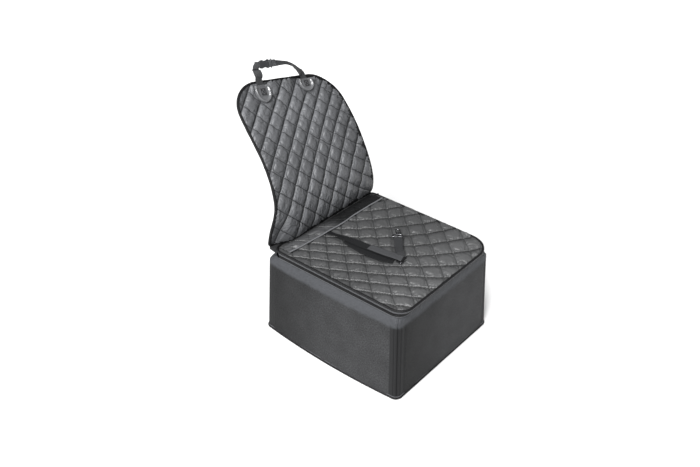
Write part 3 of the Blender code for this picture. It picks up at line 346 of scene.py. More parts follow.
# the back protector, seat, tether flap and corner fold are one cloth: the back protector's base colour is set lighter
# than the seat's as painted light, the flap's and the corner fold's darker as painted shade
BACK_FABRIC = cloth("back_fabric", (0.084, 0.086, 0.091), 0.40, 0.0011, 0.16, 0.02, 0.34, 0.16, quilt="q", crease=0.30, grain=0.2, strong=(1.0, 0.85), painted_hollow_shade=(SHADE_SIDE_BACK, 0.50))
SEAT_FABRIC = cloth("seat_fabric", (0.052, 0.0525, 0.0535), 0.40, 0.0011, 0.16, 0.02, 0.36, 0.16, quilt="q", crease=0.30, grain=0.2, strong=(1.0, 0.38), painted_hollow_shade=(SHADE_SIDE_SEAT, 0.38))
FLAP_FABRIC = cloth("flap_fabric", (0.040, 0.0405, 0.0420), 0.38, 0.0011, 0.16, 0.02, 0.34, 0.16, quilt="q", crease=0.60, grain=0.2, strong=(1.0, 0.20))
WALL_FABRIC = cloth("wall_fabric", (0.0240, 0.0243, 0.0254), 0.60, 0.0014, 0.30, 0.0, 0.12, 0.40, crease=0.06, grain=0.8, mottle=0.50)
LINING_FABRIC = cloth("lining_cloth", (0.016, 0.0165, 0.017), 0.75, 0.0010, 0.20, 0.03, 0.30, 0.10, crease=0.10)
BASE_FABRIC = cloth("base_cloth", (0.012, 0.012, 0.0125), 0.80, 0.0030, 0.60, 0.03, 0.30, 0.10)
PIPING_FABRIC = corded("piping_cloth", (0.0070, 0.0070, 0.0075), 0.50, 0.0060)
BINDING_FABRIC = cloth("binding_cloth", (0.0060, 0.0060, 0.0065), 0.50, 0.0012, 0.30, 0.0, 0.12, 0.10, crease=0.30)
CORNER_FABRIC = cloth("corner_cloth", (0.040, 0.0405, 0.042), 0.40, 0.0012, 0.20, 0.0, 0.34, 0.14, crease=0.50)
TRIM_FABRIC = corded("trim_cloth", (0.118, 0.120, 0.126), 0.42, 0.0050, 0.3)
# painted highlight: the thin cords along the folded edges of the zip tapes, along the bottom hem and under the seat
# piping are set far lighter than the dark cloth they edge
EDGE_HIGHLIGHT_FABRIC = corded("tape_edge_painted_highlight", (0.085, 0.087, 0.092), 0.45, 0.0030, 0.3)
HEM_FABRIC = corded("hem_cloth", (0.020, 0.020, 0.021), 0.5, 0.0040, 0.2)
TAPE_FABRIC = cloth("zip_tape_cloth", (0.010, 0.010, 0.0108), 0.50, 0.0012, 0.45, 0.0, 0.20, 0.10)
FOAM = cloth("padding", (0.030, 0.030, 0.032), 0.95, 0.0020, 0.20, 0.0, 0.20, 0.06)
WEB = webbing("webbing_dark", (0.0085, 0.0088, 0.0096), 0.58)
WEB_LEG = webbing("webbing_leg", (0.025, 0.0256, 0.0272), 0.55)
WEB_STRAP = webbing("webbing_strap", (0.034, 0.035, 0.037), 0.50)
WEB_GREY = webbing("webbing_grey", (0.046, 0.047, 0.050), 0.8, 0.0022)
# painted shade: near-black copy of the webbing for the tether's turned end, where it folds under
WEB_FOLD_SHADE = webbing("webbing_fold_painted_shade", (0.0040, 0.0040, 0.0045), 0.6)
PLASTIC = moulded("buckle_plastic_satin", (0.016, 0.0165, 0.018), 0.30, fine=1400.0)
PLASTIC_PLUG = moulded("buckle_plastic_plug", (0.034, 0.035, 0.037), 0.34, fine=1400.0)
TEETH = moulded("zip_teeth_polymer", (0.006, 0.006, 0.0065), 0.35, specular=0.25)
RUBBER = moulded("patch_rubber", (0.105, 0.107, 0.112), 0.30, coat=0.6, fine=500.0, strength=0.05)
BOARD = moulded("board_polymer", (0.16, 0.155, 0.15), 0.7, fine=300.0)
METAL = moulded("dark_metal", (0.10, 0.10, 0.105), 0.30, metal=1.0, fine=800.0, strength=0.05)
CHROME = moulded("plated_metal", (0.13, 0.13, 0.137), 0.26, metal=1.0, fine=700.0, strength=0.04)
THREAD = moulded("thread", (0.030, 0.031, 0.033), 0.6, fine=1500.0, strength=0.3)
THREAD_DARK = moulded("thread_dark", (0.0040, 0.0040, 0.0045), 0.6, fine=1500.0, strength=0.3)
WEB_END = webbing("webbing_end", (0.095, 0.097, 0.102), 0.55)

stitched(WALL_FABRIC, (0.0048,), (0.060, 0.062, 0.065))
# painted light and shade: the seat lighter towards its front; the back protector lighter towards its top and darker
# towards its right edge; the tether flap lighter at its left end, dark and less glossy at its right end
painted_light_shade_ramp(SEAT_FABRIC, 1, -0.24, 0.02, 1.30, 0.92)
painted_light_shade_ramp(BACK_FABRIC, 0, 0.22, 0.44, 1.0, 1.22)
painted_light_shade_ramp(BACK_FABRIC, 1, 0.10, 0.22, 1.0, 0.74)
painted_light_shade_ramp(FLAP_FABRIC, 0, -0.08, 0.06, 1.45, 0.20, painted_dulling=(0.42, 0.07))


def wall_painted_sheen_and_shade(m, low, high, colour, vec="e"):
    """Painted light and shade on the walls: the unsupported cloth above the board's top is a paler, mottled band
    between two heights, painted as sheen; each wall is also painted darker towards one end and beside its corners.
    """
    n = Net(m)
    old = n.b.inputs["Base Color"].links[0].from_socket
    _, z = n.xy(n.uv(vec))
    wob = n.noise(n.uv("m"), 40.0, 3.0, 0.6)
    z = n.math("MULTIPLY_ADD", wob, 0.014, z)
    mr = n.node("ShaderNodeMapRange", interpolation_type="SMOOTHSTEP")
    mr.inputs["From Min"].default_value = low
    mr.inputs["From Max"].default_value = high
    n.link(z, mr.inputs["Value"])
    pale = n.noise(n.uv("m"), 110.0, 4.0, 0.65)
    # painted shade: each wall darker towards the start of its run
    x, _ = n.xy(n.uv("m"))
    end_shade_ramp = n.node("ShaderNodeMapRange", interpolation_type="SMOOTHSTEP")
    end_shade_ramp.inputs["From Min"].default_value = 0.02
    end_shade_ramp.inputs["From Max"].default_value = 0.40
    n.link(n.math("MULTIPLY_ADD", n.noise(n.uv("m"), 5.0, 2.0, 0.5), 0.12, x), end_shade_ramp.inputs["Value"])
    end_shade_tone = n.mix(end_shade_ramp.outputs[0], (0.34, 0.34, 0.34), (1.06, 1.06, 1.06))
    mul = n.node("ShaderNodeMix", data_type="RGBA", blend_type="MULTIPLY")
    mul.inputs["Factor"].default_value = 1.0
    n.link(old, mul.inputs[6])
    n.link(end_shade_tone, mul.inputs[7])
    old = mul.outputs[2]
    # painted shade: a darker strip beside each corner
    e, _ = n.xy(n.uv("e"))
    strip = n.node("ShaderNodeMapRange", interpolation_type="SMOOTHSTEP")
    strip.inputs["From Min"].default_value = 0.0245
    strip.inputs["From Max"].default_value = 0.0285
    n.link(e, strip.inputs["Value"])
    old = n.mix(strip.outputs[0], tuple(c * 0.55 for c in (0.026, 0.0264, 0.0276)), old)
    for at, half in ((0.0, 0.0012), (0.0115, 0.0006)):
        old = n.mix(n.math("MULTIPLY", n.line(e, at, half, 0.0012), 0.75), old, (0.004, 0.004, 0.0044))
    # painted sheen: the band is mixed towards the pale colour, mottled by noise
    n.link(n.mix(n.math("MULTIPLY", mr.outputs[0], n.math("MULTIPLY_ADD", pale, 0.8, 0.35, clamp=True)), old, colour), n.b.inputs["Base Color"])


# painted sheen: a pale band on the sloping cloth just under the zip
wall_painted_sheen_and_shade(WALL_FABRIC, 0.264, 0.280, (0.056, 0.0585, 0.0640))


# ================================================================ mesh helpers
def place(name, verts, faces, mat, body, uvs=None, node=None, smooth=True, sharp=60, replaces=()):
    me = bpy.data.meshes.new(name)
    me.from_pydata([tuple(v) for v in verts], [], faces)
    if uvs:
        loops = np.empty(len(me.loops), dtype=np.int32)
        me.loops.foreach_get("vertex_index", loops)
        for key, arr in uvs.items():
            layer = me.uv_layers.new(name=key)
            layer.data.foreach_set("uv", np.asarray(arr, dtype=np.float32)[loops].ravel())
    me.materials.append(mat)
    me.update()
    if smooth:
        me.shade_smooth()
        me.set_sharp_from_angle(angle=math.radians(sharp))
    ob = bpy.data.objects.new(name, me)
    bpy.context.collection.objects.link(ob)
    if body is None:
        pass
    elif isinstance(body, tuple):
        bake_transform(ob)
    else:
        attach(ob, body)
    names = list(replaces) if replaces else ([node] if node else [])
    if names:
        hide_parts(*names)
    return ob


def shell(A, B, closed=False):
    """Verts and faces of the closed sheet between the two grids of points."""
    nv, nu = A.shape[:2]
    V = np.concatenate([A.reshape(-1, 3), B.reshape(-1, 3)])
    off = nv * nu
    F = []
    cols = nu if closed else nu - 1

    def k(j, i, s):
        return s * off + j * nu + (i % nu)

    for j in range(nv - 1):
        for i in range(cols):
            F.append((k(j, i, 0), k(j, i + 1, 0), k(j + 1, i + 1, 0), k(j + 1, i, 0)))
            F.append((k(j, i, 1), k(j + 1, i, 1), k(j + 1, i + 1, 1), k(j, i + 1, 1)))
    for i in range(cols):
        F.append((k(0, i, 0), k(0, i, 1), k(0, i + 1, 1), k(0, i + 1, 0)))
        F.append((k(nv - 1, i, 0), k(nv - 1, i + 1, 0), k(nv - 1, i + 1, 1), k(nv - 1, i, 1)))
    if not closed:
        for j in range(nv - 1):
            F.append((k(j, 0, 0), k(j + 1, 0, 0), k(j + 1, 0, 1), k(j, 0, 1)))
            F.append((k(j, nu - 1, 0), k(j, nu - 1, 1), k(j + 1, nu - 1, 1), k(j + 1, nu - 1, 0)))
    return V, F


def signed(V, F):
    tri = []
    for f in F:
        for x, y in zip(f[1:-1], f[2:]):
            tri.append((f[0], x, y))
    T = np.array(tri)
    c = V.mean(0)
    P = V[T] - c
    return np.einsum("ij,ij->i", P[:, 0], np.cross(P[:, 1], P[:, 2])).sum()


def outward(V, F):
    return [tuple(reversed(f)) for f in F] if signed(V, F) < 0 else F


def smooth_path(ctrl, n):
    pts = [np.array(c, float) for c in ctrl]
    pts = [pts[0] * 2 - pts[1]] + pts + [pts[-1] * 2 - pts[-2]]
    out = []
    for a, b, c, d in zip(pts[:-3], pts[1:-2], pts[2:-1], pts[3:]):
        for i in range(n):
            t = i / n
            out.append(0.5 * (2 * b + (c - a) * t + (2 * a - 5 * b + 4 * c - d) * t * t + (3 * b - a - 3 * c + d) * t ** 3))
    out.append(pts[-2])
    return np.array(out)


def tangents(P, cyclic=False):
    if cyclic:
        T = np.roll(P, -1, 0) - np.roll(P, 1, 0)
    else:
        T = np.gradient(P, axis=0)
    return T / np.linalg.norm(T, axis=1)[:, None]


def lengths(P):
    return np.concatenate([[0.0], np.cumsum(np.linalg.norm(np.diff(P, axis=0), axis=1))])


def resample(P, step):
    L = lengths(P)
    n = max(2, int(round(L[-1] / step)) + 1)
    s = np.linspace(0, L[-1], n)
    return np.stack([np.interp(s, L, P[:, k]) for k in range(3)], 1)


def tube(name, P, radius, mat, body, cyclic=False, sides=10, node=None, flat=1.0, up=(0.0, 0.0, 1.0), replaces=()):
    """Round or flattened cord along P; radius may be an array."""
    P = np.asarray(P, float)
    n = len(P)
    T = tangents(P, cyclic)
    r = np.broadcast_to(np.asarray(radius, float), (n,))
    side = np.cross(T, np.array(up))
    bad = np.linalg.norm(side, axis=1) < 1e-6
    side[bad] = (1.0, 0.0, 0.0)
    side /= np.linalg.norm(side, axis=1)[:, None]
    nrm = np.cross(side, T)
    a = np.linspace(0, 2 * np.pi, sides, endpoint=False)
    V = (P[:, None, :] + r[:, None, None] * (np.cos(a)[None, :, None] * side[:, None, :] + np.sin(a)[None, :, None] * flat * nrm[:, None, :]))
    L = lengths(P)
    uv = np.stack(np.broadcast_arrays(L[:, None], (a / (2 * np.pi))[None, :] * 2 * np.pi * r.mean()), -1)
    V = V.reshape(-1, 3)
    F = []
    for i in range(n if cyclic else n - 1):
        j = (i + 1) % n
        for k in range(sides):
            F.append((i * sides + k, i * sides + (k + 1) % sides, j * sides + (k + 1) % sides, j * sides + k))
    if not cyclic:
        F += [tuple(range(sides - 1, -1, -1)), tuple((n - 1) * sides + k for k in range(sides))]
    return place(name, V, outward(V, F), mat, body, {"m": uv.reshape(-1, 2)}, node, True, 70, replaces)


def web(name, P, W, width, thick, mat, body, node=None, cols=8, curl=0.0, bulge=0.0, replaces=()):
    """Flat webbing along P with width directions W."""
    P = np.asarray(P, float)
    T = tangents(P)
    W = np.asarray(W, float)
    W = W - T * np.einsum("ij,ij->i", W, T)[:, None]
    W /= np.linalg.norm(W, axis=1)[:, None]
    N = np.cross(T, W)
    w = np.broadcast_to(np.asarray(width, float), (len(P),))
    u = np.linspace(-1, 1, cols + 1)
    edge = np.sqrt(np.clip(1 - np.abs(u) ** 6, 0.12, 1.0))
    top = P[:, None] + W[:, None] * (u[None, :, None] * w[:, None, None] / 2) + N[:, None] * ((thick / 2) * edge + curl * u ** 2)[None, :, None]
    bot = P[:, None] + W[:, None] * (u[None, :, None] * w[:, None, None] / 2) + N[:, None] * (-(thick / 2) * edge + curl * u ** 2)[None, :, None]
    V, F = shell(top, bot)
    L = lengths(P)
    uv = np.stack(np.broadcast_arrays(L[:, None], u[None, :] * w[:, None] / 2), -1).reshape(-1, 2)
    return place(name, V, outward(V, F), mat, body, {"m": np.concatenate([uv, uv])}, node, True, 50, replaces)


def perlin(P, scale, seed=0.0):
    return np.array([noise.noise(Vector((float(p[0]) * scale + seed, float(p[1]) * scale - seed, float(p[2]) * scale + 2 * seed))) for p in P])


def lerp(a, b, t):
    return a + (b - a) * t


def step01(x, a, b):
    t = np.clip((x - a) / (b - a), 0, 1)
    return t * t * (3 - 2 * t)


# ================================================================ the box's shape
SHOULDER_Z, RIM_Z = 0.2720, 0.2970
LID_HX, LID_YF, LID_YR = 0.2490, -0.2590, 0.2590
LID_R = {225: 0.0450, 315: 0.0800, 45: 0.0300, 135: 0.0300}
LID_TAPER = 0.0060


def wall_at(z):
    if z <= SHOULDER_Z:
        q = z / SHOULDER_Z
        hx, yf, yr = lerp(0.2590, 0.2555, q), lerp(-0.2680, -0.2500, q), lerp(0.2940, 0.2860, q)
        r, rfr, bow, inset, flare = lerp(0.0220, 0.0260, q), lerp(0.0260, 0.0340, q), lerp(0.0130, 0.0060, q), 0.0040, 0.0055 * (1 - q)
    else:
        q = ((z - SHOULDER_Z) / (RIM_Z - SHOULDER_Z)) ** 2
        hx, yf, yr = lerp(0.2555, 0.2475, q), lerp(-0.2500, -0.2480, q), lerp(0.2860, 0.2700, q)
        r, rfr, bow, inset, flare = lerp(0.0260, 0.0360, q), lerp(0.0340, 0.0560, q), 0.0060 * (1 - q), 0.0040 * (1 - q) + 0.002 * q, 0.0
    return {"flare": flare, "xl": -hx, "xr": hx - inset, "yf": yf, "yr": yr, "bow": bow, "r": {225: r, 315: rfr, 45: r, 135: r}}


def tape_at(z):
    t = (z - RIM_Z) / (0.3185 - RIM_Z)
    return {"flare": 0.0, "xl": -lerp(0.2475, LID_HX, t), "xr": lerp(0.2455, LID_HX - LID_TAPER, t), "yf": lerp(-0.2480, LID_YF, t),
            "yr": lerp(0.2700, LID_YR, t), "bow": 0.0, "r": {225: lerp(0.0360, 0.0450, t), 315: lerp(0.0560, 0.0800, t), 45: 0.03, 135: 0.03}}


def corner(shape, a):
    r = shape["r"][a]
    x = shape["xl"] + r if a in (225, 135) else shape["xr"] - r
    y = shape["yf"] + r if a in (225, 315) else shape["yr"] - r
    if a == 225:
        x -= shape["flare"]
    return np.array((x, y)), r


MID = {"front": 270.0, "right": 0.0, "back": 90.0, "left": 180.0}


def side_curve(shape, side, straight=70, arc=8, seam=0.5):
    """Points, outward normals and the arc parameter along one wall, corner middle to corner middle."""
    mid = MID[side]
    pts, nor, par = [], [], []
    c0, r0 = corner(shape, int(mid - 45) % 360)
    c1, r1 = corner(shape, int(mid + 45) % 360)
    for i in range(arc + 1):
        a = math.radians(lerp(mid - 45 + seam, mid, i / arc))
        d = np.array((math.cos(a), math.sin(a)))
        pts.append(c0 + r0 * d)
        nor.append(d)
        par.append(-1 + i / arc)
    dm = np.array((math.cos(math.radians(mid)), math.sin(math.radians(mid))))
    a0, a1 = c0 + r0 * dm, c1 + r1 * dm
    for i in range(1, straight):
        t = i / straight
        p = a0 + (a1 - a0) * t
        if side in ("left", "right"):
            p = p + dm * shape["bow"] * (1 - (2 * t - 1) ** 2)
        pts.append(p)
        nor.append(dm)
        par.append(t)
    for i in range(arc + 1):
        a = math.radians(lerp(mid, mid + 45 - seam, i / arc))
        d = np.array((math.cos(a), math.sin(a)))
        pts.append(c1 + r1 * d)
        nor.append(d)
        par.append(1 + i / arc)
    return np.array(pts), np.array(nor), np.array(par)


def lid_right(y):
    return LID_HX - LID_TAPER * (LID_YR - y) / (LID_YR - LID_YF)


def lid_ring(d, arc=12, straight=30):
    corners = []
    for right, front, r, a in ((True, True, 0.0800, -90), (True, False, 0.0300, 0), (False, False, 0.0300, 90), (False, True, 0.0450, 180)):
        cy = LID_YF + r if front else LID_YR - r
        cx = lid_right(cy) - r if right else -LID_HX + r
        corners.append([(cx + (r - d) * math.cos(math.radians(a + 90 * i / arc)), cy + (r - d) * math.sin(math.radians(a + 90 * i / arc)))
                        for i in range(arc + 1)])
    out = []
    for k, c in enumerate(corners):
        out += c
        nxt = corners[(k + 1) % 4][0]
        out += [(lerp(c[-1][0], nxt[0], i / straight), lerp(c[-1][1], nxt[1], i / straight)) for i in range(1, straight)]
    return np.array(out)


def pad_top(x, y):
    u, v = np.abs(x) / LID_HX, np.abs(y) / LID_YR
    return 0.3245 + 0.0060 * np.clip(1 - u ** 4, 0, None) * np.clip(1 - v ** 4, 0, None)


# ================================================================ walls
def wall(side):
    zs = np.concatenate([np.linspace(0.0080, 0.2500, 34), np.linspace(0.2535, 0.2970, 15)])
    rows, par, dist, inner = [], None, [], []
    for z in zs:
        P, N, q = side_curve(wall_at(z), side)
        par = q
        L = np.concatenate([[0.0], np.cumsum(np.linalg.norm(np.diff(P, axis=0), axis=1))])
        mid = np.array([[p[0], p[1], z] for p in P])
        # boards keep the middle flat; the cloth relaxes a little towards the hems
        amp = 0.0009 * perlin(mid * (1.0, 1.0, 1.0), 9.0, 3.1 + MID[side])
        pucker = 0.0017 * step01(z, 0.262, 0.290) * np.array([noise.noise(Vector((l * 62.0, z * 12.0, MID[side]))) for l in L])
        pucker += 0.0010 * step01(z, 0.256, 0.280) * np.array([noise.noise(Vector((l * 130.0, z * 40.0, 5 + MID[side]))) for l in L])
        hem = 0.0007 * step01(z, 0.030, 0.010) * np.array([noise.noise(Vector((l * 50.0, z * 30.0, 9 + MID[side]))) for l in L])
        e = np.minimum(L, L[-1] - L)
        groove = -0.0014 * np.exp(-(e / 0.0018) ** 2)
        lip = 0.0009 * np.exp(-((e - 0.0050) / 0.0022) ** 2) - 0.0007 * np.exp(-((e - 0.0110) / 0.0022) ** 2)
        # the board's end shows through beside each corner
        board = (-0.0012 * np.exp(-((e - 0.0265) / 0.0030) ** 2) + 0.0011 * step01(e, 0.0275, 0.0345)) * step01(z, 0.275, 0.262)
        d = amp * step01(e, 0.0, 0.04) + pucker + hem + groove + lip + board
        rows.append(np.concatenate([P + N * d[:, None], np.full((len(P), 1), z)], 1) + (XS, YS, 0))
        inner.append(np.concatenate([P - N * 0.0019, np.full((len(P), 1), z)], 1) + (XS, YS, 0))
        dist.append(L)
    A, B = np.array(rows), np.array(inner)
    V, F = shell(A, B)
    L = np.array(dist)
    e = np.minimum(L, L[:, -1:] - L)
    Z = np.repeat(zs[:, None], L.shape[1], 1)
    m = np.stack([L, Z], -1).reshape(-1, 2)
    ee = np.stack([e, Z], -1).reshape(-1, 2)
    return place("skin_wall_" + side, V, outward(V, F), WALL_FABRIC, "box", {"m": np.concatenate([m, m]), "e": np.concatenate([ee, ee])},
                 "wall_cover_" + side, True, 60)


for side in MID:
    wall(side)


def closed_ring(z, d, straight=70, arc=8):
    shape = wall_at(z)
    out = []
    for side in ("front", "right", "back", "left"):
        P, N, q = side_curve(shape, side, straight, arc, 0.0)
        out.append((P - N * d)[:-1])
    P = np.concatenate(out)
    return np.concatenate([P, np.full((len(P), 1), z)], 1) + (XS, YS, 0)


R = closed_ring(0.0, -0.0001)
R[:, 2] = 0.0047
wob = 0.0002 * perlin(R, 60.0, 1.0)
tube("bottom_binding", R + np.stack([wob * 0, wob * 0, wob], 1), 0.0034 + 0.00018 * perlin(R, 90.0, 4.0), PIPING_FABRIC, "box", True, 10, "base_binding")
R2 = closed_ring(0.0, 0.0004)
R2[:, 2] = 0.0098
# painted highlight: a light cord above the bottom binding
tube("bottom_hem", R2, 0.0011, EDGE_HIGHLIGHT_FABRIC, "box", True, 6, flat=1.2)

# ================================================================ zip
TAPE_REAR = 0.2350


def u_line(z, d, step=0.004):
    """The zip's run: up the left side's rear end, round both front corners, to the right side's rear end."""
    shape = tape_at(z)
    (cl, rl), (cr, rr) = corner(shape, 225), corner(shape, 315)
    arc = 16
    left = [cl + (rl - d) * np.array((math.cos(math.radians(180 + 90 * i / arc)), math.sin(math.radians(180 + 90 * i / arc)))) for i in range(arc + 1)]
    right = [cr + (rr - d) * np.array((math.cos(math.radians(270 + 90 * i / arc)), math.sin(math.radians(270 + 90 * i / arc)))) for i in range(arc + 1)]
    e0 = np.array((shape["xl"] + d, TAPE_REAR))
    e1 = np.array((lerp(right[-1][0], lerp(0.2475, LID_HX, (z - RIM_Z) / 0.0215) - d, 0.98), TAPE_REAR))
    P = np.array([e0] + left + right + [e1])
    P3 = np.concatenate([P, np.full((len(P), 1), z)], 1)
    return resample(P3, step) + (XS, YS, 0)


def tape(name, z0, z1, body, node, slot):
    zs = np.linspace(z0, z1, 7)
    base = u_line((z0 + z1) / 2, 0.0)
    rows, back = [], []
    for z in zs:
        P = u_line(z, 0.0, 0.004)
        P = np.stack([np.interp(np.linspace(0, 1, len(base)), np.linspace(0, 1, len(P)), P[:, k]) for k in range(3)], 1)
        T = tangents(P)
        N = np.stack([T[:, 1], -T[:, 0], T[:, 2] * 0], 1)
        f = (z - z0) / (z1 - z0)
        bulge = 0.0007 * math.sin(math.pi * f)
        wav = 0.0002 * perlin(P, 30.0, z0 * 100)
        rows.append(P + N * (bulge + wav)[:, None])
        back.append(P - N * 0.0009)
    A, B = np.array(rows), np.array(back)
    V, F = shell(A, B)
    L = lengths(base)
    uv = np.stack(np.broadcast_arrays(L[None, :], zs[:, None]), -1).reshape(-1, 2)
    ee = np.stack(np.broadcast_arrays(zs[:, None] - z0, L[None, :]), -1).reshape(-1, 2)
    return place(name, V, outward(V, F), slot[1], body, {"m": np.concatenate([uv, uv]), "e": np.concatenate([ee, ee])}, node, True, 60)


stitched(TAPE_FABRIC, (0.0022, 0.0078), (0.070, 0.071, 0.074))
tape("zip_lower", 0.2972, 0.3072, "box", "zip_tape_lower", ("zip_tape", TAPE_FABRIC))
tape("zip_upper", 0.3084, 0.3184, "lid", "zip_tape_upper", ("zip_tape", TAPE_FABRIC))
# painted highlight: light cords along the tapes' folded edges
for nm, z_, b_, r_ in (("zip_fold_lower", 0.2994, "box", 0.0010), ("zip_fold_upper", 0.3150, "lid", 0.0010)):
    pf = u_line(z_, -0.0012)
    pf[:, 2] += 0.0004 * perlin(pf, 26.0, z_ * 90)
    tube(nm, pf, r_ + 0.0001 * perlin(pf, 80.0, 3.0), EDGE_HIGHLIGHT_FABRIC, b_, False, 8)


def teeth(name, z, zdir, body):
    """One row of moulded teeth along the tape's edge."""
    P = u_line(z, 0.0, 0.0021)
    T = tangents(P)
    N = np.stack([T[:, 1], -T[:, 0], T[:, 2] * 0], 1)
    V, F, UV = [], [], []
    for p, t, n in zip(P[::1], T, N):
        k = len(V)
        c = p + n * 0.0006
        for a, b, h in ((-1, 0, 0.0), (1, 0, 0.0), (1, 1, 0.0), (-1, 1, 0.0), (-0.7, 0, 1.0), (0.7, 0, 1.0), (0.7, 1, 1.0), (-0.7, 1, 1.0)):
            V.append(c + t * a * 0.00070 + np.array((0, 0, zdir)) * (-0.0022 + b * 0.0026) + n * h * 0.0012)
            UV.append((a * 0.001, b * 0.001))
        F += [(k + 3, k + 2, k + 1, k), (k + 4, k + 5, k + 6, k + 7), (k, k + 1, k + 5, k + 4), (k + 1, k + 2, k + 6, k + 5),
              (k + 2, k + 3, k + 7, k + 6), (k + 3, k, k + 4, k + 7)]
    V = np.array(V)
    return place(name, V, outward(V, F), TEETH, body, {"m": np.array(UV)}, smooth=False)


teeth("zip_teeth_lower", 0.3072, 1, "box")
teeth("zip_teeth_upper", 0.3084, -1, "lid")

# ================================================================ quilted seat
QI = (2.868, -13.622, -12.343, 15.525, -6.535, -0.944)
QJ = (3.345, 12.630, -12.282, 0.289, -0.283, -2.486)


def quad(c, x, y):
    return c[0] + c[1] * x + c[2] * y + c[3] * x * x + c[4] * x * y + c[5] * y * y


def pillow(i, j, power=0.62):
    u = 2 * (i - np.floor(i)) - 1
    v = 2 * (j - np.floor(j)) - 1
    return np.clip((1 - u * u) * (1 - v * v), 0, 1) ** power


def finer(a):
    """Twice as fine along both sides, through the old points."""
    for axis in (0, 1):
        a = np.moveaxis(a, axis, 0)
        n = a.shape[0]
        e = np.concatenate([2 * a[:1] - a[1:2], a, 2 * a[-1:] - a[-2:-1]])
        mid = (-e[:n - 1] + 9 * e[1:n] + 9 * e[2:n + 1] - e[3:n + 2]) / 16
        out = np.empty((2 * n - 1,) + a.shape[1:])
        out[0::2], out[1::2] = a, mid
        a = np.moveaxis(out, 0, axis)
    return a


def grid_normals(P):
    n = np.cross(np.gradient(P, axis=1), np.gradient(P, axis=0))
    return n / np.linalg.norm(n, axis=-1, keepdims=True)


def sewn_cloth(name, P, pin, loose, pressure, grow, frames, cap, tcap):
    """Blows up a sheet that is sewn down where pin is 1 and whose cloth is longer than its seams where loose is high."""
    nv, nu = P.shape[:2]
    F = [(j * nu + i, j * nu + i + 1, (j + 1) * nu + i + 1, (j + 1) * nu + i) for j in range(nv - 1) for i in range(nu - 1)]
    me = bpy.data.meshes.new(name)
    me.from_pydata([tuple(v) for v in P.reshape(-1, 3)], [], F)
    me.update()
    ob = bpy.data.objects.new(name, me)
    bpy.context.collection.objects.link(ob)
    for key, w in (("pin", pin), ("loose", loose)):
        g = ob.vertex_groups.new(name=key)
        w = np.clip(w, 0, 1).reshape(-1)
        for level in range(1, 11):
            ids = np.nonzero(np.round(w * 10).astype(int) == level)[0]
            if len(ids):
                g.add([int(v) for v in ids], level / 10, "REPLACE")
    md = ob.modifiers.new("Cloth", "CLOTH")
    c = md.settings
    c.quality = 4
    c.mass = 0.12
    c.tension_stiffness = c.compression_stiffness = 12.0
    c.shear_stiffness = 4.0
    c.bending_stiffness = 0.25
    c.tension_damping = c.compression_damping = 6.0
    c.vertex_group_mass = "pin"
    c.pin_stiffness = 1.0
    c.vertex_group_shrink = "loose"
    c.shrink_min = -grow[0]
    c.shrink_max = -grow[1]
    c.use_pressure = True
    c.uniform_pressure_force = pressure
    c.effector_weights.gravity = 0.0
    md.collision_settings.use_collision = False
    md.point_cache.frame_start = 1
    md.point_cache.frame_end = frames
    scene = bpy.context.scene
    for f in range(1, frames + 1):
        scene.frame_set(f)
    ev = ob.evaluated_get(bpy.context.evaluated_depsgraph_get())
    m2 = ev.to_mesh()
    co = np.empty(len(m2.vertices) * 3)
    m2.vertices.foreach_get("co", co)
    ev.to_mesh_clear()
    Q = co.reshape(P.shape)
    bpy.data.objects.remove(ob)
    bpy.data.meshes.remove(me)
    scene.frame_set(1)
    N = grid_normals(P)
    D = Q - P
    up = np.einsum("ijk,ijk->ij", D, N)
    T = D - N * up[..., None]
    t = np.linalg.norm(T, axis=-1, keepdims=True)
    T = T * np.minimum(1.0, tcap / np.maximum(t, 1e-9))
    up = np.where(up > 0, cap * np.tanh(up / cap), np.maximum(up, -0.0008))
    return up, T


def tether_mask(x, y):
    """1 where the tether's webs press the seat flat."""
    m = np.zeros_like(x)
    for ctrl, hw in ((MAIN, 0.017), (UNDER, 0.017), (LEG, 0.016)):
        P = smooth_path([(c[0], c[1], 0.0) for c in ctrl], 6)[:, :2]
        d = np.min(np.hypot(x[..., None] - P[:, 0], y[..., None] - P[:, 1]), -1)
        m = np.maximum(m, 1 - step01(d, hw * 0.9, hw + 0.012))
    return m


MAIN = [(-0.0650, 0.2160, 0.0013), (-0.0645, 0.1950, 0.0014), (-0.0620, 0.1600, 0.0024), (-0.0590, 0.1250, 0.0040),
        (-0.0570, 0.0900, 0.0046), (-0.0540, 0.0500, 0.0046), (-0.0500, 0.0050, 0.0046), (-0.0450, -0.0400, 0.0046), (-0.0413, -0.0780, 0.0042)]
UNDER = [(-0.0640, 0.1080, 0.0016), (-0.0720, 0.0700, 0.0016), (-0.0760, 0.0300, 0.0016), (-0.0750, -0.0150, 0.0016),
         (-0.0680, -0.0500, 0.0016), (-0.0560, -0.0790, 0.0016)]
TAIL = [(-0.0500, 0.0230, 0.0076), (-0.0475, -0.0050, 0.0078), (-0.0440, -0.0400, 0.0082), (-0.0400, -0.0740, 0.0098), (-0.0372, -0.0890, 0.0095),
        (-0.0352, -0.0965, 0.0075)]
TURN = [(-0.0352, -0.0960, 0.0072), (-0.0340, -0.1010, 0.0052), (-0.0337, -0.1030, 0.0030), (-0.0342, -0.1010, 0.0016)]
TG = (-0.0355, -0.0970)
LEG = [(TG[0] + 0.0170, TG[1] + 0.0200, 0.0), (0.0010, -0.0545, 0.0), (0.0230, -0.0370, 0.0), (0.0470, -0.0170, 0.0)]


FLAP_X = (-0.2350, -0.2240, -0.1890, -0.1040, -0.0230, 0.0210, 0.0610, 0.1360, 0.1960, 0.2330)
FLAP_Y = (0.2025, 0.2014, 0.1950, 0.1885, 0.1855, 0.1855, 0.1875, 0.1905, 0.1893, 0.1893)


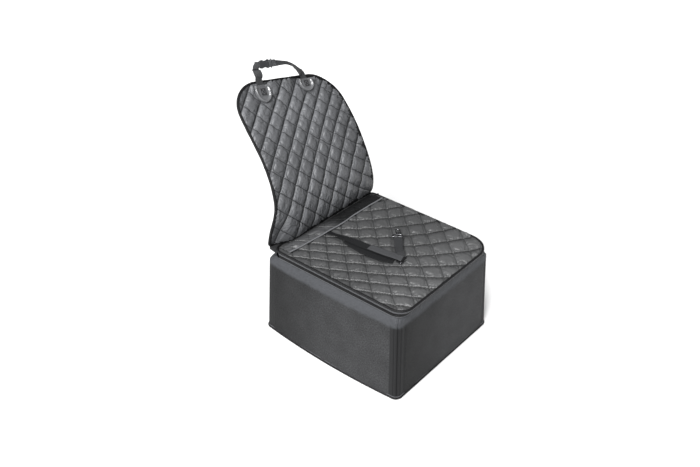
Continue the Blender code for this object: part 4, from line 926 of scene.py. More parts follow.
def seat():
    edge = 0.0032
    ring = lid_ring(edge, 40, 4)
    y0, y1 = ring[:, 1].min(), ring[:, 1].max()
    ys = np.unique(np.concatenate([np.linspace(y0, y1, 152), y0 + 0.03 * (np.arange(12) / 12) ** 2, y1 - 0.02 * (np.arange(8) / 8) ** 2]))
    closed = np.concatenate([ring, ring[:1]])

    def reach(y, sign):
        best = None
        for (xa, ya), (xb, yb) in zip(closed[:-1], closed[1:]):
            if (ya - y) * (yb - y) <= 0 and ya != yb:
                x = xa + (xb - xa) * (y - ya) / (yb - ya)
                if best is None or x * sign > best * sign:
                    best = x
        return best

    u = np.linspace(0, 1, 145)
    u = 0.80 * u + 0.20 * (1 - np.cos(np.pi * u)) / 2
    X, Y = [], []
    for y in ys:
        yy = min(max(y, y0 + 1e-5), y1 - 1e-5)
        xl, xr = reach(yy, -1), reach(yy, 1)
        X.append(xl + (xr - xl) * u)
        Y.append(np.full(len(u), y))
    X, Y = np.array(X), np.array(Y)

    def fields(X, Y):
        D = np.min(np.hypot(X[..., None] - ring[::2, 0], Y[..., None] - ring[::2, 1]), -1)
        P3 = np.stack([X, Y, X * 0], -1).reshape(-1, 3)
        q1 = quad(QI, X, Y) + 0.045 * perlin(P3, 11.0, 2.0).reshape(X.shape)
        q2 = quad(QJ, X, Y) + 0.035 * perlin(P3, 13.0, 7.0).reshape(X.shape)
        return D, P3, q1, q2, tether_mask(X, Y)

    D, P3, q1, q2, press = fields(X, Y)
    du = 0.055 * np.minimum(np.abs(q1 - np.round(q1)), np.abs(q2 - np.round(q2)))
    rim = step01(D, 0.0, 0.012)
    Z = pad_top(X, Y) - 0.0026 * rim
    P = np.stack([X, Y, Z], -1)
    pin = np.maximum((du < 0.0019).astype(float), (D < 0.0035).astype(float))
    loose = np.clip(0.30 + 0.9 * np.exp(-(D / 0.035) ** 2) + 0.8 * perlin(P3, 9.0, 21.0).reshape(X.shape), 0, 1)
    up, T = sewn_cloth("sim_seat", P, pin, loose, 3.5, (0.016, 0.060), 18, 0.0100, 0.0032)
    up = 0.0085 * np.tanh(2.7 * up / 0.0085) * (1 - 0.6 * press)
    X2, Y2 = finer(X), finer(Y)
    up, T = finer(up), finer(T)
    D, P3, q1, q2, press = fields(X2, Y2)
    du = 0.055 * np.minimum(np.abs(q1 - np.round(q1)), np.abs(q2 - np.round(q2)))
    rim = step01(D, 0.0, 0.012)
    puck = perlin(P3, 120.0, 5.0).reshape(X2.shape) * np.exp(-(du / 0.006)) * 0.00016 + 0.00030 * perlin(P3, 45.0, 9.0).reshape(X2.shape)
    gather = (perlin(P3, 110.0, 12.0) * 0.0010 + perlin(P3, 52.0, 19.0) * 0.0026).reshape(X2.shape) * np.exp(-((D - 0.010) / 0.018) ** 2)
    Z = pad_top(X2, Y2) - 0.0026 * rim + up + (puck + gather) * rim * (1 - 0.7 * press)
    si, sj = 0.055 * np.abs(q1 - np.round(q1)), 0.055 * np.abs(q2 - np.round(q2))
    far = 0.055 * (np.round(q1) - q1)
    Z -= (0.0022 * np.exp(-(si / 0.0022) ** 2) + 0.0009 * np.exp(-(sj / 0.0018) ** 2)) * rim * (1 - 0.6 * press)
    Z += 0.0016 * np.exp(-((far - 0.0056) / 0.0036) ** 2) * rim * (1 - 0.8 * press) * (1.0 + 0.5 * perlin(P3, 18.0, 14.0).reshape(X2.shape))
    crumple = 0.30 - np.abs(perlin(P3, 34.0, 41.0)) + 0.6 * (0.30 - np.abs(perlin(P3, 70.0, 17.0)))
    Z += 0.0013 * crumple.reshape(X2.shape) * (1 - 0.8 * np.exp(-(si / 0.008) ** 2)) * rim * (1 - 0.9 * press)
    # short pulls run off the deep seams
    pull = np.array(perlin(np.stack([q1 * 0.6, q2 * 7.0, q1 * 0], -1).reshape(-1, 3), 1.0, 4.0)).reshape(X2.shape)
    Z += 0.0016 * pull * np.exp(-(si / 0.013)) * (1 - np.exp(-(si / 0.003) ** 2)) * rim * (1 - 0.8 * press)
    Z -= 0.0022 * np.exp(-(D / 0.004) ** 2)
    # kept low under the tether
    top = pad_top(X2, Y2)
    Z = np.where(press > 0.02, np.minimum(Z, top + 0.0002 + 0.0075 * (1 - press)), Z)
    Z = np.minimum(Z, top + 0.0095)
    # flat under the flap
    under_flap = step01(Y2 - np.interp(X2, FLAP_X, FLAP_Y), 0.001, 0.010)
    Z = Z - under_flap * np.maximum(Z - (top - 0.0010), 0.0)
    Z = np.maximum(Z, 0.3201)
    X2, Y2 = X2 + T[..., 0] * rim, Y2 + T[..., 1] * rim
    A = np.stack([X2 + XS, Y2 + YS, Z], -1)
    B = np.stack([X2 + XS, Y2 + YS, np.full_like(Z, 0.3197)], -1)
    V, F = shell(A, B)
    q = np.stack([q1, q2], -1).reshape(-1, 2)
    m = np.stack([X2, Y2], -1).reshape(-1, 2)
    ob = place("quilted_seat", V, outward(V, F), SEAT_FABRIC, "lid", {"m": np.concatenate([m, m]), "q": np.concatenate([q, q])},
               "seat_cover", True, 75)
    return ob


seat()

LR = lid_ring(0.0)
LR = lid_ring(0.0008)
LR3 = np.concatenate([LR, np.full((len(LR), 1), 0.3225)], 1) + (XS, YS, 0)
LR3 = resample(np.concatenate([LR3, LR3[:1]]), 0.004)[:-1]
LR3[:, 2] += 0.0005 * perlin(LR3, 18.0, 3.0)
tube("seat_piping", LR3, 0.0041 + 0.0003 * perlin(LR3, 80.0, 6.0), PIPING_FABRIC, "lid", True, 12, "lid_piping")
# painted highlight: a light cord under the seat piping
LR4 = lid_ring(-0.0004)
LR4 = np.concatenate([LR4, np.full((len(LR4), 1), 0.3178)], 1) + (XS, YS, 0)
LR4 = resample(np.concatenate([LR4, LR4[:1]]), 0.004)[:-1]
LR4[:, 2] += 0.0004 * perlin(LR4, 40.0, 8.0)
tube("seat_piping_lip", LR4, 0.0011, EDGE_HIGHLIGHT_FABRIC, "lid", True, 6)


# ================================================================ slot flap
def flap():
    xs = np.linspace(-0.2340, 0.2310, 300)
    front = np.interp(xs, FLAP_X, FLAP_Y)
    front = np.convolve(np.pad(front, 20, mode="edge"), np.ones(41) / 41, "valid")
    ts = np.linspace(0, 1, 34)
    rows, low, Q, M = [], [], [], []
    for t in ts:
        y = front + (0.2375 - front) * t
        P3 = np.stack([xs, y, xs * 0], 1)
        q1, q2 = quad(QI, xs, y), quad(QJ, xs, y)
        base = pad_top(xs, np.minimum(y, 0.224))
        # long folds run across the strip at a slant, as the cloth is pulled up into the back protector
        slant = np.stack([xs * 26.0 + y * 40.0, y * 18.0, xs * 0], 1)
        fold = 0.0050 * perlin(slant, 1.0, 3.0) + 0.0030 * perlin(slant * 2.3, 1.0, 8.0) + 0.0060 * (0.22 - np.abs(perlin(slant * 1.7, 1.0, 15.0)))
        pil = 0.0034 * pillow(q1, q2, 0.6) - 0.0018 * np.exp(-(0.055 * np.abs(q1 - np.round(q1)) / 0.002) ** 2)
        z = base + 0.0036 + (fold + pil) * math.sin(math.pi * min(1.0, 0.12 + t * 0.88)) + 0.0005 * perlin(P3, 90.0, 6.0)
        z = z - 0.0010 * t + 0.0008 * step01(np.full_like(xs, t), 0.72, 1.0)
        z = z + 0.0014 * np.exp(-((xs + 0.065) / 0.022) ** 2) * (1 - t)
        floor_z = pad_top(xs, y) + 0.0016
        z = np.maximum(z, floor_z)
        rows.append(np.stack([xs + XS, y + YS, z], 1))
        low.append(np.stack([xs + XS, y + YS, z - 0.0010], 1))
        Q.append(np.stack([q1, q2], 1))
        M.append(np.stack([xs, y], 1))
    A, B = np.array(rows), np.array(low)
    V, F = shell(A, B)
    m, q = np.array(M).reshape(-1, 2), np.array(Q).reshape(-1, 2)
    ob = place("tether_flap", V, outward(V, F), FLAP_FABRIC, "lid", {"m": np.concatenate([m, m]), "q": np.concatenate([q, q])}, "slot_flap", True, 60)
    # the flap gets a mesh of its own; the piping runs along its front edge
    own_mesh(ob)
    P = np.stack([xs + XS, front - 0.0008 + YS, pad_top(xs, front) + 0.0050], 1)
    P = resample(P, 0.004)
    P[:, 2] += 0.0014 * np.exp(-((P[:, 0] - XS + 0.065) / 0.022) ** 2) + 0.0005 * perlin(P, 25.0, 2.0)
    P[:, 1] += 0.0018 * perlin(P, 14.0, 4.0) + 0.0008 * perlin(P, 38.0, 14.0)
    tube("tether_flap_piping", P, 0.0026 + 0.0003 * perlin(P, 60.0, 1.0), TRIM_FABRIC, "lid", False, 10, "slot_flap_piping")


flap()

# ================================================================ tether
def on_pad(ctrl, n=8):
    P = smooth_path(ctrl, n)
    P[:, 2] += pad_top(P[:, 0], P[:, 1])
    return P + (XS, YS, 0)


P_MAIN = on_pad(MAIN)
W_MAIN = np.tile((1.0, 0.0, 0.0), (len(P_MAIN), 1))
k = np.linspace(0, 1, len(P_MAIN))
width_main = np.where(k < 0.32, lerp(0.0190, 0.0300, k / 0.32), 0.0300)
twist = 0.35 * np.exp(-((k - 0.28) / 0.14) ** 2)
W_MAIN[:, 2] = -np.sin(twist)
main = web("tether_web_main", P_MAIN, W_MAIN, width_main, 0.0017, WEB, "lid", "tether_web", 10, 0.0004)
P_UND = on_pad(UNDER)
W_UND = np.tile((1.0, 0.0, 0.0), (len(P_UND), 1))
under = web("tether_web_under", P_UND, W_UND, 0.0300, 0.0016, WEB, "lid", "tether_return", 10, 0.0)
P_TAIL = on_pad(TAIL, 10)
tail = web("tether_web_tail", P_TAIL, np.tile((1.0, 0.0, 0.0), (len(P_TAIL), 1)), 0.0292, 0.0024, WEB_GREY, "lid", "tether_tail", 12, 0.0)

# painted shade: the turned end under the tail is near black
turn_p = on_pad(TURN, 6)
turned_end = web("tether_web_turn", turn_p, np.tile((1.0, 0.0, 0.0), (len(turn_p), 1)), 0.0296, 0.0024, WEB_FOLD_SHADE, "lid", None, 12, 0.0)

HK = np.array((0.0470 + XS, -0.0170 + YS, 0.3465))
HD = np.array((0.78, 0.63, 0.0))
HD /= np.linalg.norm(HD)
HS = np.array((-HD[1], HD[0], 0.0))
HU = np.array((0.0, 0.0, 1.0))


def hk(a, b, c=0.0):
    return HK + HD * a + HS * b + HU * c


leg0 = np.array((TG[0] + 0.0060 + XS, TG[1] + 0.0070 + YS, 0.0))
leg0[2] = pad_top(TG[0] + 0.0060, TG[1] + 0.0070) + 0.0062
leg1 = np.array((TG[0] + 0.0170 + XS, TG[1] + 0.0200 + YS, 0.0))
leg1[2] = pad_top(TG[0] + 0.0170, TG[1] + 0.0200) + 0.0110
P_LEG = smooth_path([leg0, leg1, (0.0010 + XS, -0.0545 + YS, 0.3425), (0.0230 + XS, -0.0370 + YS, 0.3450), HK - HD * 0.0026], 10)
leg = web("tether_web_leg", P_LEG, np.tile(HS, (len(P_LEG), 1)), 0.0282, 0.0017, WEB_LEG, "lid", "tether_leg", 10, 0.0006)
# the leg's fold is sewn down on itself
P_SEW = smooth_path([P_LEG[4] + (0, 0, 0.0019), P_LEG[12] + (0, 0, 0.0019), P_LEG[22] + (0, 0, 0.0019)], 8)
sewn = web("tether_leg_fold", P_SEW, np.tile(HS, (len(P_SEW), 1)), 0.0240, 0.0015, WEB_LEG, "lid", None, 8, 0.0004)

# adjuster: a rounded frame with a middle bar
tg_z = float(pad_top(TG[0], TG[1])) + 0.0012 + 0.0017
th = math.radians(-8)


def tgp(x, y, z=0.0):
    return np.array((TG[0] + x * math.cos(th) - y * math.sin(th) + XS, TG[1] + x * math.sin(th) + y * math.cos(th) + YS, tg_z + z))


def round_rect(hx, hy, r, n=6):
    out = []
    for cx, cy, a in ((hx - r, hy - r, 0), (-hx + r, hy - r, 90), (-hx + r, -hy + r, 180), (hx - r, -hy + r, 270)):
        out += [(cx + r * math.cos(math.radians(a + 90 * i / n)), cy + r * math.sin(math.radians(a + 90 * i / n))) for i in range(n + 1)]
    return out


fr = [tgp(x, y) for x, y in round_rect(0.0174, 0.0108, 0.0040)]
adj = tube("adjuster_frame", resample(np.array(fr + fr[:1]), 0.0015)[:-1], 0.0017, METAL, "lid", True, 10, "tether_adjuster")
bar = tube("adjuster_bar", np.array([tgp(-0.0165, 0.0), tgp(0.0165, 0.0)]), 0.0016, METAL, "lid", False, 10)

# swivel eye
eye_ctrl = [hk(0.0, -0.0165), hk(0.0, 0.0), hk(0.0, 0.0165), hk(0.0060, 0.0175), hk(0.0115, 0.0110), hk(0.0125, 0.0), hk(0.0115, -0.0110), hk(0.0060, -0.0175)]
ring = []
pts = eye_ctrl
for i in range(len(pts)):
    a, b, c, d = pts[i - 1], pts[i], pts[(i + 1) % len(pts)], pts[(i + 2) % len(pts)]
    for t in np.linspace(0, 1, 6, endpoint=False):
        ring.append(0.5 * (2 * b + (c - a) * t + (2 * a - 5 * b + 4 * c - d) * t * t + (3 * b - a - 3 * c + d) * t ** 3))
eye = tube("swivel_eye", np.array(ring), 0.0020, CHROME, "lid", True, 12, "hook_eye")


def turned(name, profile, mat, body, node=None, seg=24):
    """Turned piece about the hook's line, profile of (along, radius)."""
    V, F, UV = [], [], []
    for a, r in profile:
        for i in range(seg):
            q = 2 * math.pi * i / seg
            V.append(hk(a, r * math.cos(q), r * math.sin(q)))
            UV.append((a, r * q))
    n = len(profile)
    for k_ in range(n - 1):
        for i in range(seg):
            F.append((k_ * seg + i, k_ * seg + (i + 1) % seg, (k_ + 1) * seg + (i + 1) % seg, (k_ + 1) * seg + i))
    F += [tuple(range(seg - 1, -1, -1)), tuple((n - 1) * seg + i for i in range(seg))]
    V = np.array(V)
    return place(name, V, outward(V, F), mat, body, {"m": np.array(UV)}, node, True, 50)


collar = turned("swivel_collar", [(0.0116, 0.0030), (0.0119, 0.0042), (0.0130, 0.0047), (0.0155, 0.0047), (0.0164, 0.0042), (0.0166, 0.0030)], CHROME, "lid", None)
CC, CR = 0.0335, 0.0098
ang = np.radians(np.arange(170, 172 + 243, 6))
c_path = np.array([hk(CC + CR * math.cos(a), CR * math.sin(a)) for a in ang])
c_rad = np.interp(np.linspace(0, 1, len(c_path)), [0, 0.1, 0.5, 0.93, 1.0], [0.0026, 0.0025, 0.0025, 0.0021, 0.0014])
hook_c = tube("snap_hook_curve", c_path, c_rad, CHROME, "hook", False, 12, "hook_body")
shank = turned("snap_hook_shank", [(0.0170, 0.0034), (0.0172, 0.0048), (0.0180, 0.0052), (0.0200, 0.0052), (0.0210, 0.0044), (0.0216, 0.0034), (0.0236, 0.0032)],
               CHROME, "hook", None)
g0 = (CC + CR * math.cos(math.radians(146)), CR * math.sin(math.radians(146)))
g1 = (CC + (CR - 0.0034) * math.cos(math.radians(62)), (CR - 0.0034) * math.sin(math.radians(62)))
gp = np.array([hk(lerp(g0[0], g1[0], t), lerp(g0[1], g1[1], t)) for t in np.linspace(-0.06, 1.0, 8)])
gate = tube("snap_hook_gate", gp, np.interp(np.linspace(0, 1, 8), [0, 0.1, 0.9, 1], [0.0010, 0.0015, 0.0013, 0.0008]), CHROME, "hook_latch", False, 10, "hook_gate")

# ================================================================ zip slider and pull
SL = np.array((0.2505 + XS, 0.2260 + YS, 0.3080))


def bevelled(ob, w=0.0004, seg=3):
    md = ob.modifiers.new("round", "BEVEL")
    md.width = w
    md.segments = seg
    md.limit_method = "ANGLE"
    md.angle_limit = math.radians(35)
    return ob


def plate(name, low, high, mat, body, node=None, bevel=0.0004, seg=3):
    n = len(low)
    V = np.array(list(low) + list(high), float)
    F = [tuple(range(n - 1, -1, -1)), tuple(range(n, 2 * n))] + [(i, (i + 1) % n, n + (i + 1) % n, n + i) for i in range(n)]
    uv = np.stack([V[:, 1], V[:, 2]], 1)
    ob = place(name, V, outward(V, F), mat, body, {"m": uv}, node, True, 30)
    if bevel:
        bevelled(ob, bevel, seg)
    return ob


out = [(-0.0055, -0.0026), (-0.0040, -0.0042), (-0.0020, -0.0048), (0.0036, -0.0048), (0.0054, -0.0036), (0.0060, -0.0018), (0.0060, 0.0018),
       (0.0054, 0.0036), (0.0036, 0.0048), (-0.0020, 0.0048), (-0.0040, 0.0042), (-0.0055, 0.0026)]
plate("slider_body", [SL + (0.0008, y, z) for y, z in out], [SL + (0.0024, y * 0.92, z * 0.92) for y, z in out], METAL, "zip_slider", "zip_slider_body", 0.0005)
br = smooth_path([SL + (0.0012, -0.0044, 0.0), SL + (0.0034, -0.0036, 0.0), SL + (0.0040, 0.0, 0.0), SL + (0.0034, 0.0036, 0.0), SL + (0.0012, 0.0044, 0.0)], 5)
tube("slider_bail", br, 0.0007, METAL, "zip_slider", False, 8)
tab = [(-0.0022, 0.0011), (0.0022, 0.0011), (0.0023, 0.0045), (0.0034, 0.0065), (0.0034, 0.0138), (0.0027, 0.0156), (0.0012, 0.0163), (-0.0012, 0.0163),
       (-0.0027, 0.0156), (-0.0034, 0.0138), (-0.0034, 0.0065), (-0.0023, 0.0045)]
plate("pull_tab", [SL + (0.0053, y, z) for y, z in tab], [SL + (0.0066, y, z) for y, z in tab], METAL, "zip_pull", "zip_pull_tab", 0.0003)

# ================================================================ back protector
BACK_L, STEPS = 0.5120, 256


def back_angles(t):
    return (-19.21 + 188.31 * t - 171.8 * t * t + 38.62 * t ** 3, 0.26 * t + 8.38 * t * t + 0.85 * t ** 3, 0.29 * t - 6.47 * t * t)


def back_axes(t):
    lean, turn, tilt = (math.radians(v) for v in back_angles(t))
    up = np.array((math.sin(turn), math.cos(turn) * math.sin(lean), math.cos(turn) * math.cos(lean)))
    flat = np.array((math.cos(turn), -math.sin(turn) * math.sin(lean), -math.sin(turn) * math.cos(lean)))
    face = np.cross(flat, up)
    across = flat * math.cos(tilt) + face * math.sin(tilt)
    f = np.cross(across, up)
    return up, across, f / np.linalg.norm(f)


SP = [np.array((0.0, 0.2450, 0.3300))]
for i in range(STEPS):
    SP.append(SP[-1] + back_axes((i + 0.5) / STEPS)[0] * (BACK_L / STEPS))
SP = np.array(SP)


def back_row(s, x, d):
    """Points at height s for arrays of x and d."""
    q = min(max(s / BACK_L, 0.0), 1.0) * STEPS
    i = min(int(q), STEPS - 1)
    up, across, face = back_axes(q / STEPS)
    base = SP[i] + (SP[i + 1] - SP[i]) * (q - i) + up * (s - q / STEPS * BACK_L)
    x = np.asarray(x, float)
    P = base + x[:, None] * across + np.broadcast_to(d, x.shape)[:, None] * face
    k = np.clip((-x - 0.165) / 0.085, 0, 1)
    m = min(1.0, max(0.0, (0.165 - s) / 0.125))
    P[:, 1] += 0.0260 * k * k * (3 - 2 * k) * m * m * (3 - 2 * m)
    return P + (XS, YS, 0)


def back_half(side, s):
    t = min(max(s / BACK_L, 0.0), 1.0)
    if side == "left":
        h = 0.2604 + 0.082 * t - 0.9637 * t ** 2 + 1.9301 * t ** 3 - 1.4449 * t ** 4 + 0.3722 * t ** 5
        rx, ry = 0.112, 0.085
    else:
        h = 0.2366 + 0.0045 * t - 0.4961 * t ** 2 + 1.8528 * t ** 3 - 2.2825 * t ** 4 + 0.9205 * t ** 5
        rx, ry = 0.110, 0.110
    c = min(max((s - (BACK_L - ry)) / ry, 0.0), 1.0)
    h -= rx * (1 - math.sqrt(1 - c * c))
    c = min(max((0.020 - s) / 0.020, 0.0), 1.0)
    return h - 0.020 * (1 - math.sqrt(1 - c * c))


def outline():
    ss = np.concatenate([0.020 * (1 - np.cos(np.radians(np.arange(0, 90, 10)))), np.linspace(0.020, BACK_L - 0.110, 60),
                         BACK_L - 0.110 + 0.110 * np.sin(np.radians(np.arange(3, 91, 3)))])
    sl = np.concatenate([0.020 * (1 - np.cos(np.radians(np.arange(0, 90, 10)))), np.linspace(0.020, BACK_L - 0.085, 62),
                         BACK_L - 0.085 + 0.085 * np.sin(np.radians(np.arange(3, 91, 3)))])
    right = [(v, back_half("right", v)) for v in ss]
    left = [(v, -back_half("left", v)) for v in sl][::-1]
    top = [(BACK_L, lerp(right[-1][1], left[0][1], t)) for t in np.linspace(0, 1, 24)[1:-1]]
    low = [(0.0, lerp(left[-1][1], right[0][1], t)) for t in np.linspace(0, 1, 60)[1:-1]]
    return np.array(right + top + left + low)


OUT = outline()


def inset(e):
    P = OUT
    T = np.roll(P, -1, 0) - np.roll(P, 1, 0)
    T /= np.linalg.norm(T, axis=1)[:, None]
    return np.stack([P[:, 0] + e * T[:, 1], P[:, 1] - e * T[:, 0]], 1)


CI = (9.151, -0.219, 12.904, -46.505, 6.670, -2.158, 45.664, -8.511, 8.967, -6.055)
CJ = (8.986, -15.977, -12.782, -1.039, -10.565, 1.445, 6.906, 19.273, 1.594, 9.955)


def cubic(c, s, x):
    return (c[0] + c[1] * s + c[2] * x + c[3] * s * s + c[4] * s * x + c[5] * x * x + c[6] * s ** 3 + c[7] * s * s * x + c[8] * s * x * x + c[9] * x ** 3)


def back_grid(edge, rows_n, cols_n):
    line = inset(edge)
    nxt = np.roll(line, -1, 0)
    lo, hi = edge, BACK_L - edge
    ss = np.unique(np.concatenate([np.linspace(lo, hi, rows_n), lo + 0.012 * (np.arange(8) / 8) ** 2, hi - 0.05 * (np.arange(20) / 20) ** 2]))
    u = np.linspace(0, 1, cols_n)
    u = 0.70 * u + 0.30 * (1 - np.cos(np.pi * u)) / 2
    S, X = [], []
    for s in ss:
        q = min(max(s, lo + 1e-5), hi - 1e-5)
        hit = (line[:, 0] - q) * (nxt[:, 0] - q) <= 0
        hit &= line[:, 0] != nxt[:, 0]
        a, b = line[hit], nxt[hit]
        xs = a[:, 1] + (b[:, 1] - a[:, 1]) * (q - a[:, 0]) / (b[:, 0] - a[:, 0])
        S.append(np.full(cols_n, s))
        X.append(lerp(xs.min(), xs.max(), u))
    return ss, np.array(S), np.array(X), line


def bend(S, X):
    return step01(-X, 0.150, 0.180) * (1 - step01(S, 0.150, 0.190)) * step01(S, 0.006, 0.030)


def back_cover():
    ss, S, X, line = back_grid(0.0030, 158, 150)

    def fields(S, X):
        D = np.min(np.hypot(S[..., None] - line[::2, 0], X[..., None] - line[::2, 1]), -1)
        P3 = np.stack([S, X, S * 0], -1).reshape(-1, 3)
        q1 = cubic(CI, S, X) + 0.03 * perlin(P3, 12.0, 1.0).reshape(S.shape)
        q2 = cubic(CJ, S, X) + 0.03 * perlin(P3, 12.0, 4.0).reshape(S.shape)
        press = np.zeros_like(S)
        for px in (-0.1095, 0.0955):
            press = np.maximum(press, (1 - step01(np.abs(X - px), 0.030, 0.038)) * step01(S, 0.438, 0.446))
        return D, P3, q1, q2, press

    D, P3, q1, q2, press = fields(S, X)
    du = 0.055 * np.minimum(np.abs(q1 - np.round(q1)), np.abs(q2 - np.round(q2)))
    rim = step01(D, 0.0, 0.014)
    P = np.array([back_row(s, X[k], 0.0034) for k, s in enumerate(ss)])
    pin = np.maximum((du < 0.0019).astype(float), (D < 0.0035).astype(float))
    # more spare cloth at the right edge and in the lower left corner
    right_side = np.exp(-(D / 0.045) ** 2) * (X > 0.03) * step01(S, 0.12, 0.30)
    low_left = np.exp(-(D / 0.05) ** 2) * (X < -0.08) * (1 - step01(S, 0.10, 0.20))
    loose = np.clip(0.22 + 0.8 * right_side + 0.9 * low_left + 0.7 * perlin(P3, 8.0, 31.0).reshape(S.shape), 0, 1)
    up, T = sewn_cloth("sim_back", P, pin, loose, 3.5, (0.016, 0.065), 18, 0.0100, 0.0036)
    up = 0.0080 * np.tanh(2.5 * up / 0.0080)
    up = up * (1 - 0.9 * press)
    S2, X2 = finer(S), finer(X)
    up, T = finer(up), finer(T)
    D, P3, q1, q2, press = fields(S2, X2)
    du = 0.055 * np.minimum(np.abs(q1 - np.round(q1)), np.abs(q2 - np.round(q2)))
    rim = step01(D, 0.0, 0.012)
    puck = perlin(P3, 120.0, 5.0).reshape(S2.shape) * np.exp(-(du / 0.006)) * 0.00018 + 0.00030 * perlin(P3, 42.0, 9.0).reshape(S2.shape)
    steep = 0.055 * np.abs(q1 - np.round(q1))
    fine = 0.055 * np.abs(q2 - np.round(q2))
    d = 0.0034 + up + puck * rim * (1 - press)
    d = d - (0.0026 * np.exp(-(steep / 0.0024) ** 2) + 0.0015 * np.exp(-(fine / 0.0017) ** 2)) * rim * (1 - press) - 0.0020 * np.exp(-(D / 0.005) ** 2)
    # each column leans: high beside its left seam, falling to its right one
    gx = np.gradient(q1, axis=1) / np.maximum(np.abs(np.gradient(X2, axis=1)), 1e-6)
    fr = q1 - np.floor(q1)
    fr = np.where(gx > 0, fr, 1 - fr)
    d = d + 0.0034 * (np.exp(-((fr - 0.24) / 0.20) ** 2) - 0.30) * rim * (1 - press)
    pull = np.array(perlin(np.stack([q1 * 0.6, q2 * 7.0, q1 * 0], -1).reshape(-1, 3), 1.0, 4.0)).reshape(S2.shape)
    crumple = 0.30 - np.abs(perlin(P3, 30.0, 41.0)) + 0.6 * (0.30 - np.abs(perlin(P3, 64.0, 17.0)))
    edge_wrinkle = np.exp(-((D - 0.018) / 0.022) ** 2) * (X2 > 0.0) * step01(S2, 0.10, 0.24)
    d = d + (0.0011 * crumple.reshape(S2.shape) + 0.0060 * edge_wrinkle * perlin(P3, 62.0, 51.0).reshape(S2.shape)) * rim * (1 - press)
    d = d + 0.0010 * pull * np.exp(-(steep / 0.010)) * rim * (1 - press)
    d = np.where(press > 0.5, np.minimum(d, 0.0056), d)
    # thin where it folds against the lid
    d = np.clip(d, 0.0012, 0.0135)
    d = np.where(d > 0.0034, 0.0034 + (d - 0.0034) * (0.25 + 0.75 * step01(S2, 0.004, 0.055)), d)
    d = np.maximum(d, 0.0012 + 0.0026 * bend(S2, X2) * rim)
    A = np.array([back_row(S2[k, 0], X2[k], d[k]) for k in range(len(S2))]) + T * (rim * (1 - press))[..., None]
    B = np.array([back_row(S2[k, 0], X2[k], 0.0007) for k in range(len(S2))])
    V, F = shell(A, B)
    q = np.stack([q1, q2], -1).reshape(-1, 2)
    m = np.stack([S2, X2], -1).reshape(-1, 2)
    ob = place("quilted_back", V, outward(V, F), BACK_FABRIC, "backrest", {"m": np.concatenate([m, m]), "q": np.concatenate([q, q])},
               "back_cover", True, 75)


def back_rear():
    ss, S, X, line = back_grid(0.0036, 90, 80)
    D = np.min(np.hypot(S[..., None] - line[::2, 0], X[..., None] - line[::2, 1]), -1)
    P3 = np.stack([S, X, S * 0], -1).reshape(-1, 3)
    q1, q2 = cubic(CI, S, X), cubic(CJ, S, X)
    h = pillow(q1, q2, 0.8)
    d = -0.0038 - (0.0012 * h + 0.0004 * perlin(P3, 60.0, 3.0).reshape(S.shape)) * step01(D, 0.0, 0.02)
    d = d - 0.0024 * bend(S, X) * step01(D, 0.0, 0.008)
    A = np.array([back_row(s, X[k], d[k]) for k, s in enumerate(ss)])
    B = np.array([back_row(s, X[k], -0.0026) for k, s in enumerate(ss)])
    V, F = shell(A, B)
    m = np.stack([S, X], -1).reshape(-1, 2)
    place("back_rear_cloth", V, outward(V, F), LINING_FABRIC, "backrest", {"m": np.concatenate([m, m])}, "back_lining", True, 75)


back_cover()
back_rear()
PO = np.concatenate([back_row(s, [x], 0.0) for s, x in OUT])
PO = resample(np.concatenate([PO, PO[:1]]), 0.004)[:-1]
PO = PO + 0.0006 * np.stack([perlin(PO, 22.0, 1.0), perlin(PO, 22.0, 5.0), perlin(PO, 22.0, 9.0)], 1)
tube("back_edge_piping", PO, 0.0017 + 0.0017 * step01(PO[:, 2], 0.334, 0.352) + 0.0003 * perlin(PO, 70.0, 2.0), PIPING_FABRIC, "backrest", True, 10, "back_piping", up=(0.02, 1.0, 0.35))


def back_binding():
    """Tape folded round the edge: a flat band on the front face inside the piping."""
    rings = []
    # partly painted shade: the dark binding is drawn wider along the right edge, the bottom edge and the lower left,
    # standing for shade there
    wide = 0.42 + 0.58 * np.maximum(step01(OUT[:, 1], 0.02, 0.12), step01(-OUT[:, 0], -0.03, 0.0) * step01(OUT[:, 1], -0.16, -0.08))
    wide = wide + 0.40 * step01(-OUT[:, 1], 0.18, 0.22) * (1 - step01(OUT[:, 0], 0.15, 0.22)) + 0.30 * step01(OUT[:, 1], 0.02, 0.12) + 0.70 * step01(-OUT[:, 0], -0.02, 0.0) * step01(OUT[:, 1], -0.16, -0.06) * (1 - step01(OUT[:, 1], 0.18, 0.23))
    for e, d in ((-0.0004, 0.0012), (0.0016, 0.0038), (0.0040, 0.0044), (0.0066, 0.0044), (0.0086, 0.0037), (0.0090, 0.0027)):
        L = inset(e * wide)
        rings.append(np.concatenate([back_row(s, [x], d) for s, x in L]))
    A = np.array(rings)
    A[1:5] += 0.0006 * perlin(A[1:5].reshape(-1, 3), 60.0, 3.0).reshape(4, -1, 1)
    B = A.copy()
    low = []
    for e, d in ((-0.0004, 0.0006), (0.0016, 0.0020), (0.0040, 0.0030), (0.0066, 0.0030), (0.0086, 0.0022), (0.0090, 0.0018)):
        low.append(np.concatenate([back_row(s, [x], d) for s, x in inset(e * wide)]))
    B = np.array(low)
    V, F = shell(A, B, closed=True)
    L = lengths(A[2])
    uv = np.stack(np.broadcast_arrays(L[None, :], (np.arange(6) * 0.0022)[:, None]), -1).reshape(-1, 2)
    place("back_edge_binding", V, outward(V, F), BINDING_FABRIC, "backrest", {"m": np.concatenate([uv, uv])}, smooth=True, sharp=60)


back_binding()


